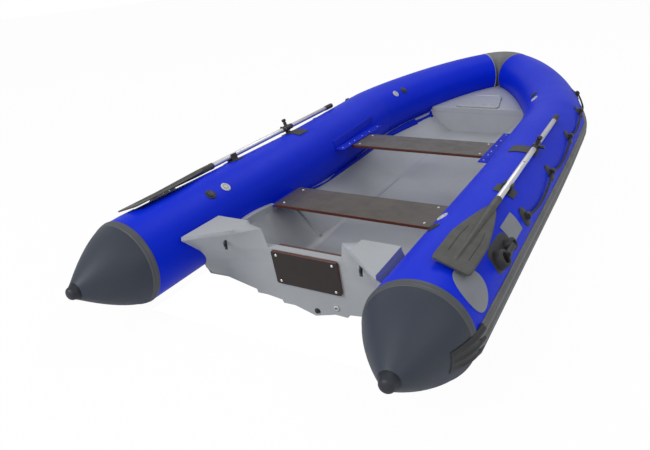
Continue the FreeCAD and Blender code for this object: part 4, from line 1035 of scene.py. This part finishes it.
for side, word in SIDES:
    finished("lifeline_holders_" + word, black_rubber, 0.0030, 3, 40.0)
    feet = [spun_on_tube(HOLDER_FOOT, y, angle, side, 32) for y, angle in HOLDERS]
    grip = [rounded_pad(0.345, 0.590, 20.0, 50.0, 0.0030, side)]
    for y, wide in ((0.405, 0.037), (0.540, 0.027)):
        foot = ((wide + 0.004, -0.006), (wide + 0.003, 0.006), (wide, 0.012), (wide, 0.028), (wide - 0.003, 0.034),
                (wide - 0.009, 0.036), (wide - 0.014, 0.033), (wide - 0.016, 0.016), (0.0002, 0.013))
        grip.append(spun_on_tube(foot, y, HANDLE_ANGLE, side, 32))
    grip.append(swept(on_tube(np.linspace(0.432, 0.520, 8), HANDLE_ANGLE, 0.030, side), 0.0125, 16))
    add_piece("holder_feet_" + word, joined(feet), black_rubber, crease=50.0)
    add_piece("handle_grip_" + word, joined(grip), black_rubber,
              nodes=("carry_handle_" + word,), crease=50.0)

# ---------------------------------------------------------------- blank side plates
# Each quarter has a plain rectangular plate and a plain round badge glued on, both of
# one neutral grey sheet with nothing on them.
blank_sheet = grained("blank_sheet", (0.23, 0.245, 0.27), (0.17, 0.18, 0.20), 0.4, 0.4, 6.0, 1200.0, 0.15)
for side, word in SIDES:
    finished("side_plate_" + word, blank_sheet)
    finished("side_badge_" + word, blank_sheet)

# ---------------------------------------------------------------- transom fittings
# Bolted eyes for a tow bridle stand on the knees. Low on the transom are a screwed
# drain plug and a white flange for a pump hose.
dark_steel = grained("dark_steel", (0.06, 0.06, 0.062), (0.03, 0.03, 0.03), 0.35, 0.5, 40.0, 900.0, 0.2,
                     metallic=0.4)
PLUG_DEPTH, FLANGE_DEPTH, TRANSOM_FACE = 0.084, 0.037, 0.437 - 0.0004
PLUG = ((0.0150, 0.0), (0.0150, 0.0030), (0.0135, 0.0048), (0.0115, 0.0050), (0.0110, 0.0085), (0.0095, 0.0096),
        (0.0050, 0.0096), (0.0040, 0.0070), (0.0002, 0.0070))
FLANGE = ((0.0150, 0.0), (0.0150, 0.0040), (0.0138, 0.0066), (0.0115, 0.0082), (0.0085, 0.0084), (0.0075, 0.0070),
          (0.0074, 0.0012), (0.0002, 0.0012))
BORE = ((0.0073, 0.0), (0.0073, 0.0018), (0.0002, 0.0018))
for _, word in SIDES:
    finished("transom_eye_" + word, dark_steel, 0.0008, 2)
plug_seat = np.array((0.015, TRANSOM_FACE + TRANSOM_SLOPE * PLUG_DEPTH, -PLUG_DEPTH))
flange_seat = np.array((0.129, TRANSOM_FACE + TRANSOM_SLOPE * FLANGE_DEPTH, -FLANGE_DEPTH))
add_piece("drain_cap", spun(PLUG, plug_seat, plate_normal, 36), black_plastic,
          nodes=("drain_plug",), crease=35.0)
add_piece("drain_ring", spun(FLANGE, flange_seat, plate_normal, 36), white_plastic,
          nodes=("drain_flange",), crease=35.0)
add_piece("drain_bore", spun(BORE, flange_seat, plate_normal, 24), black_plastic)
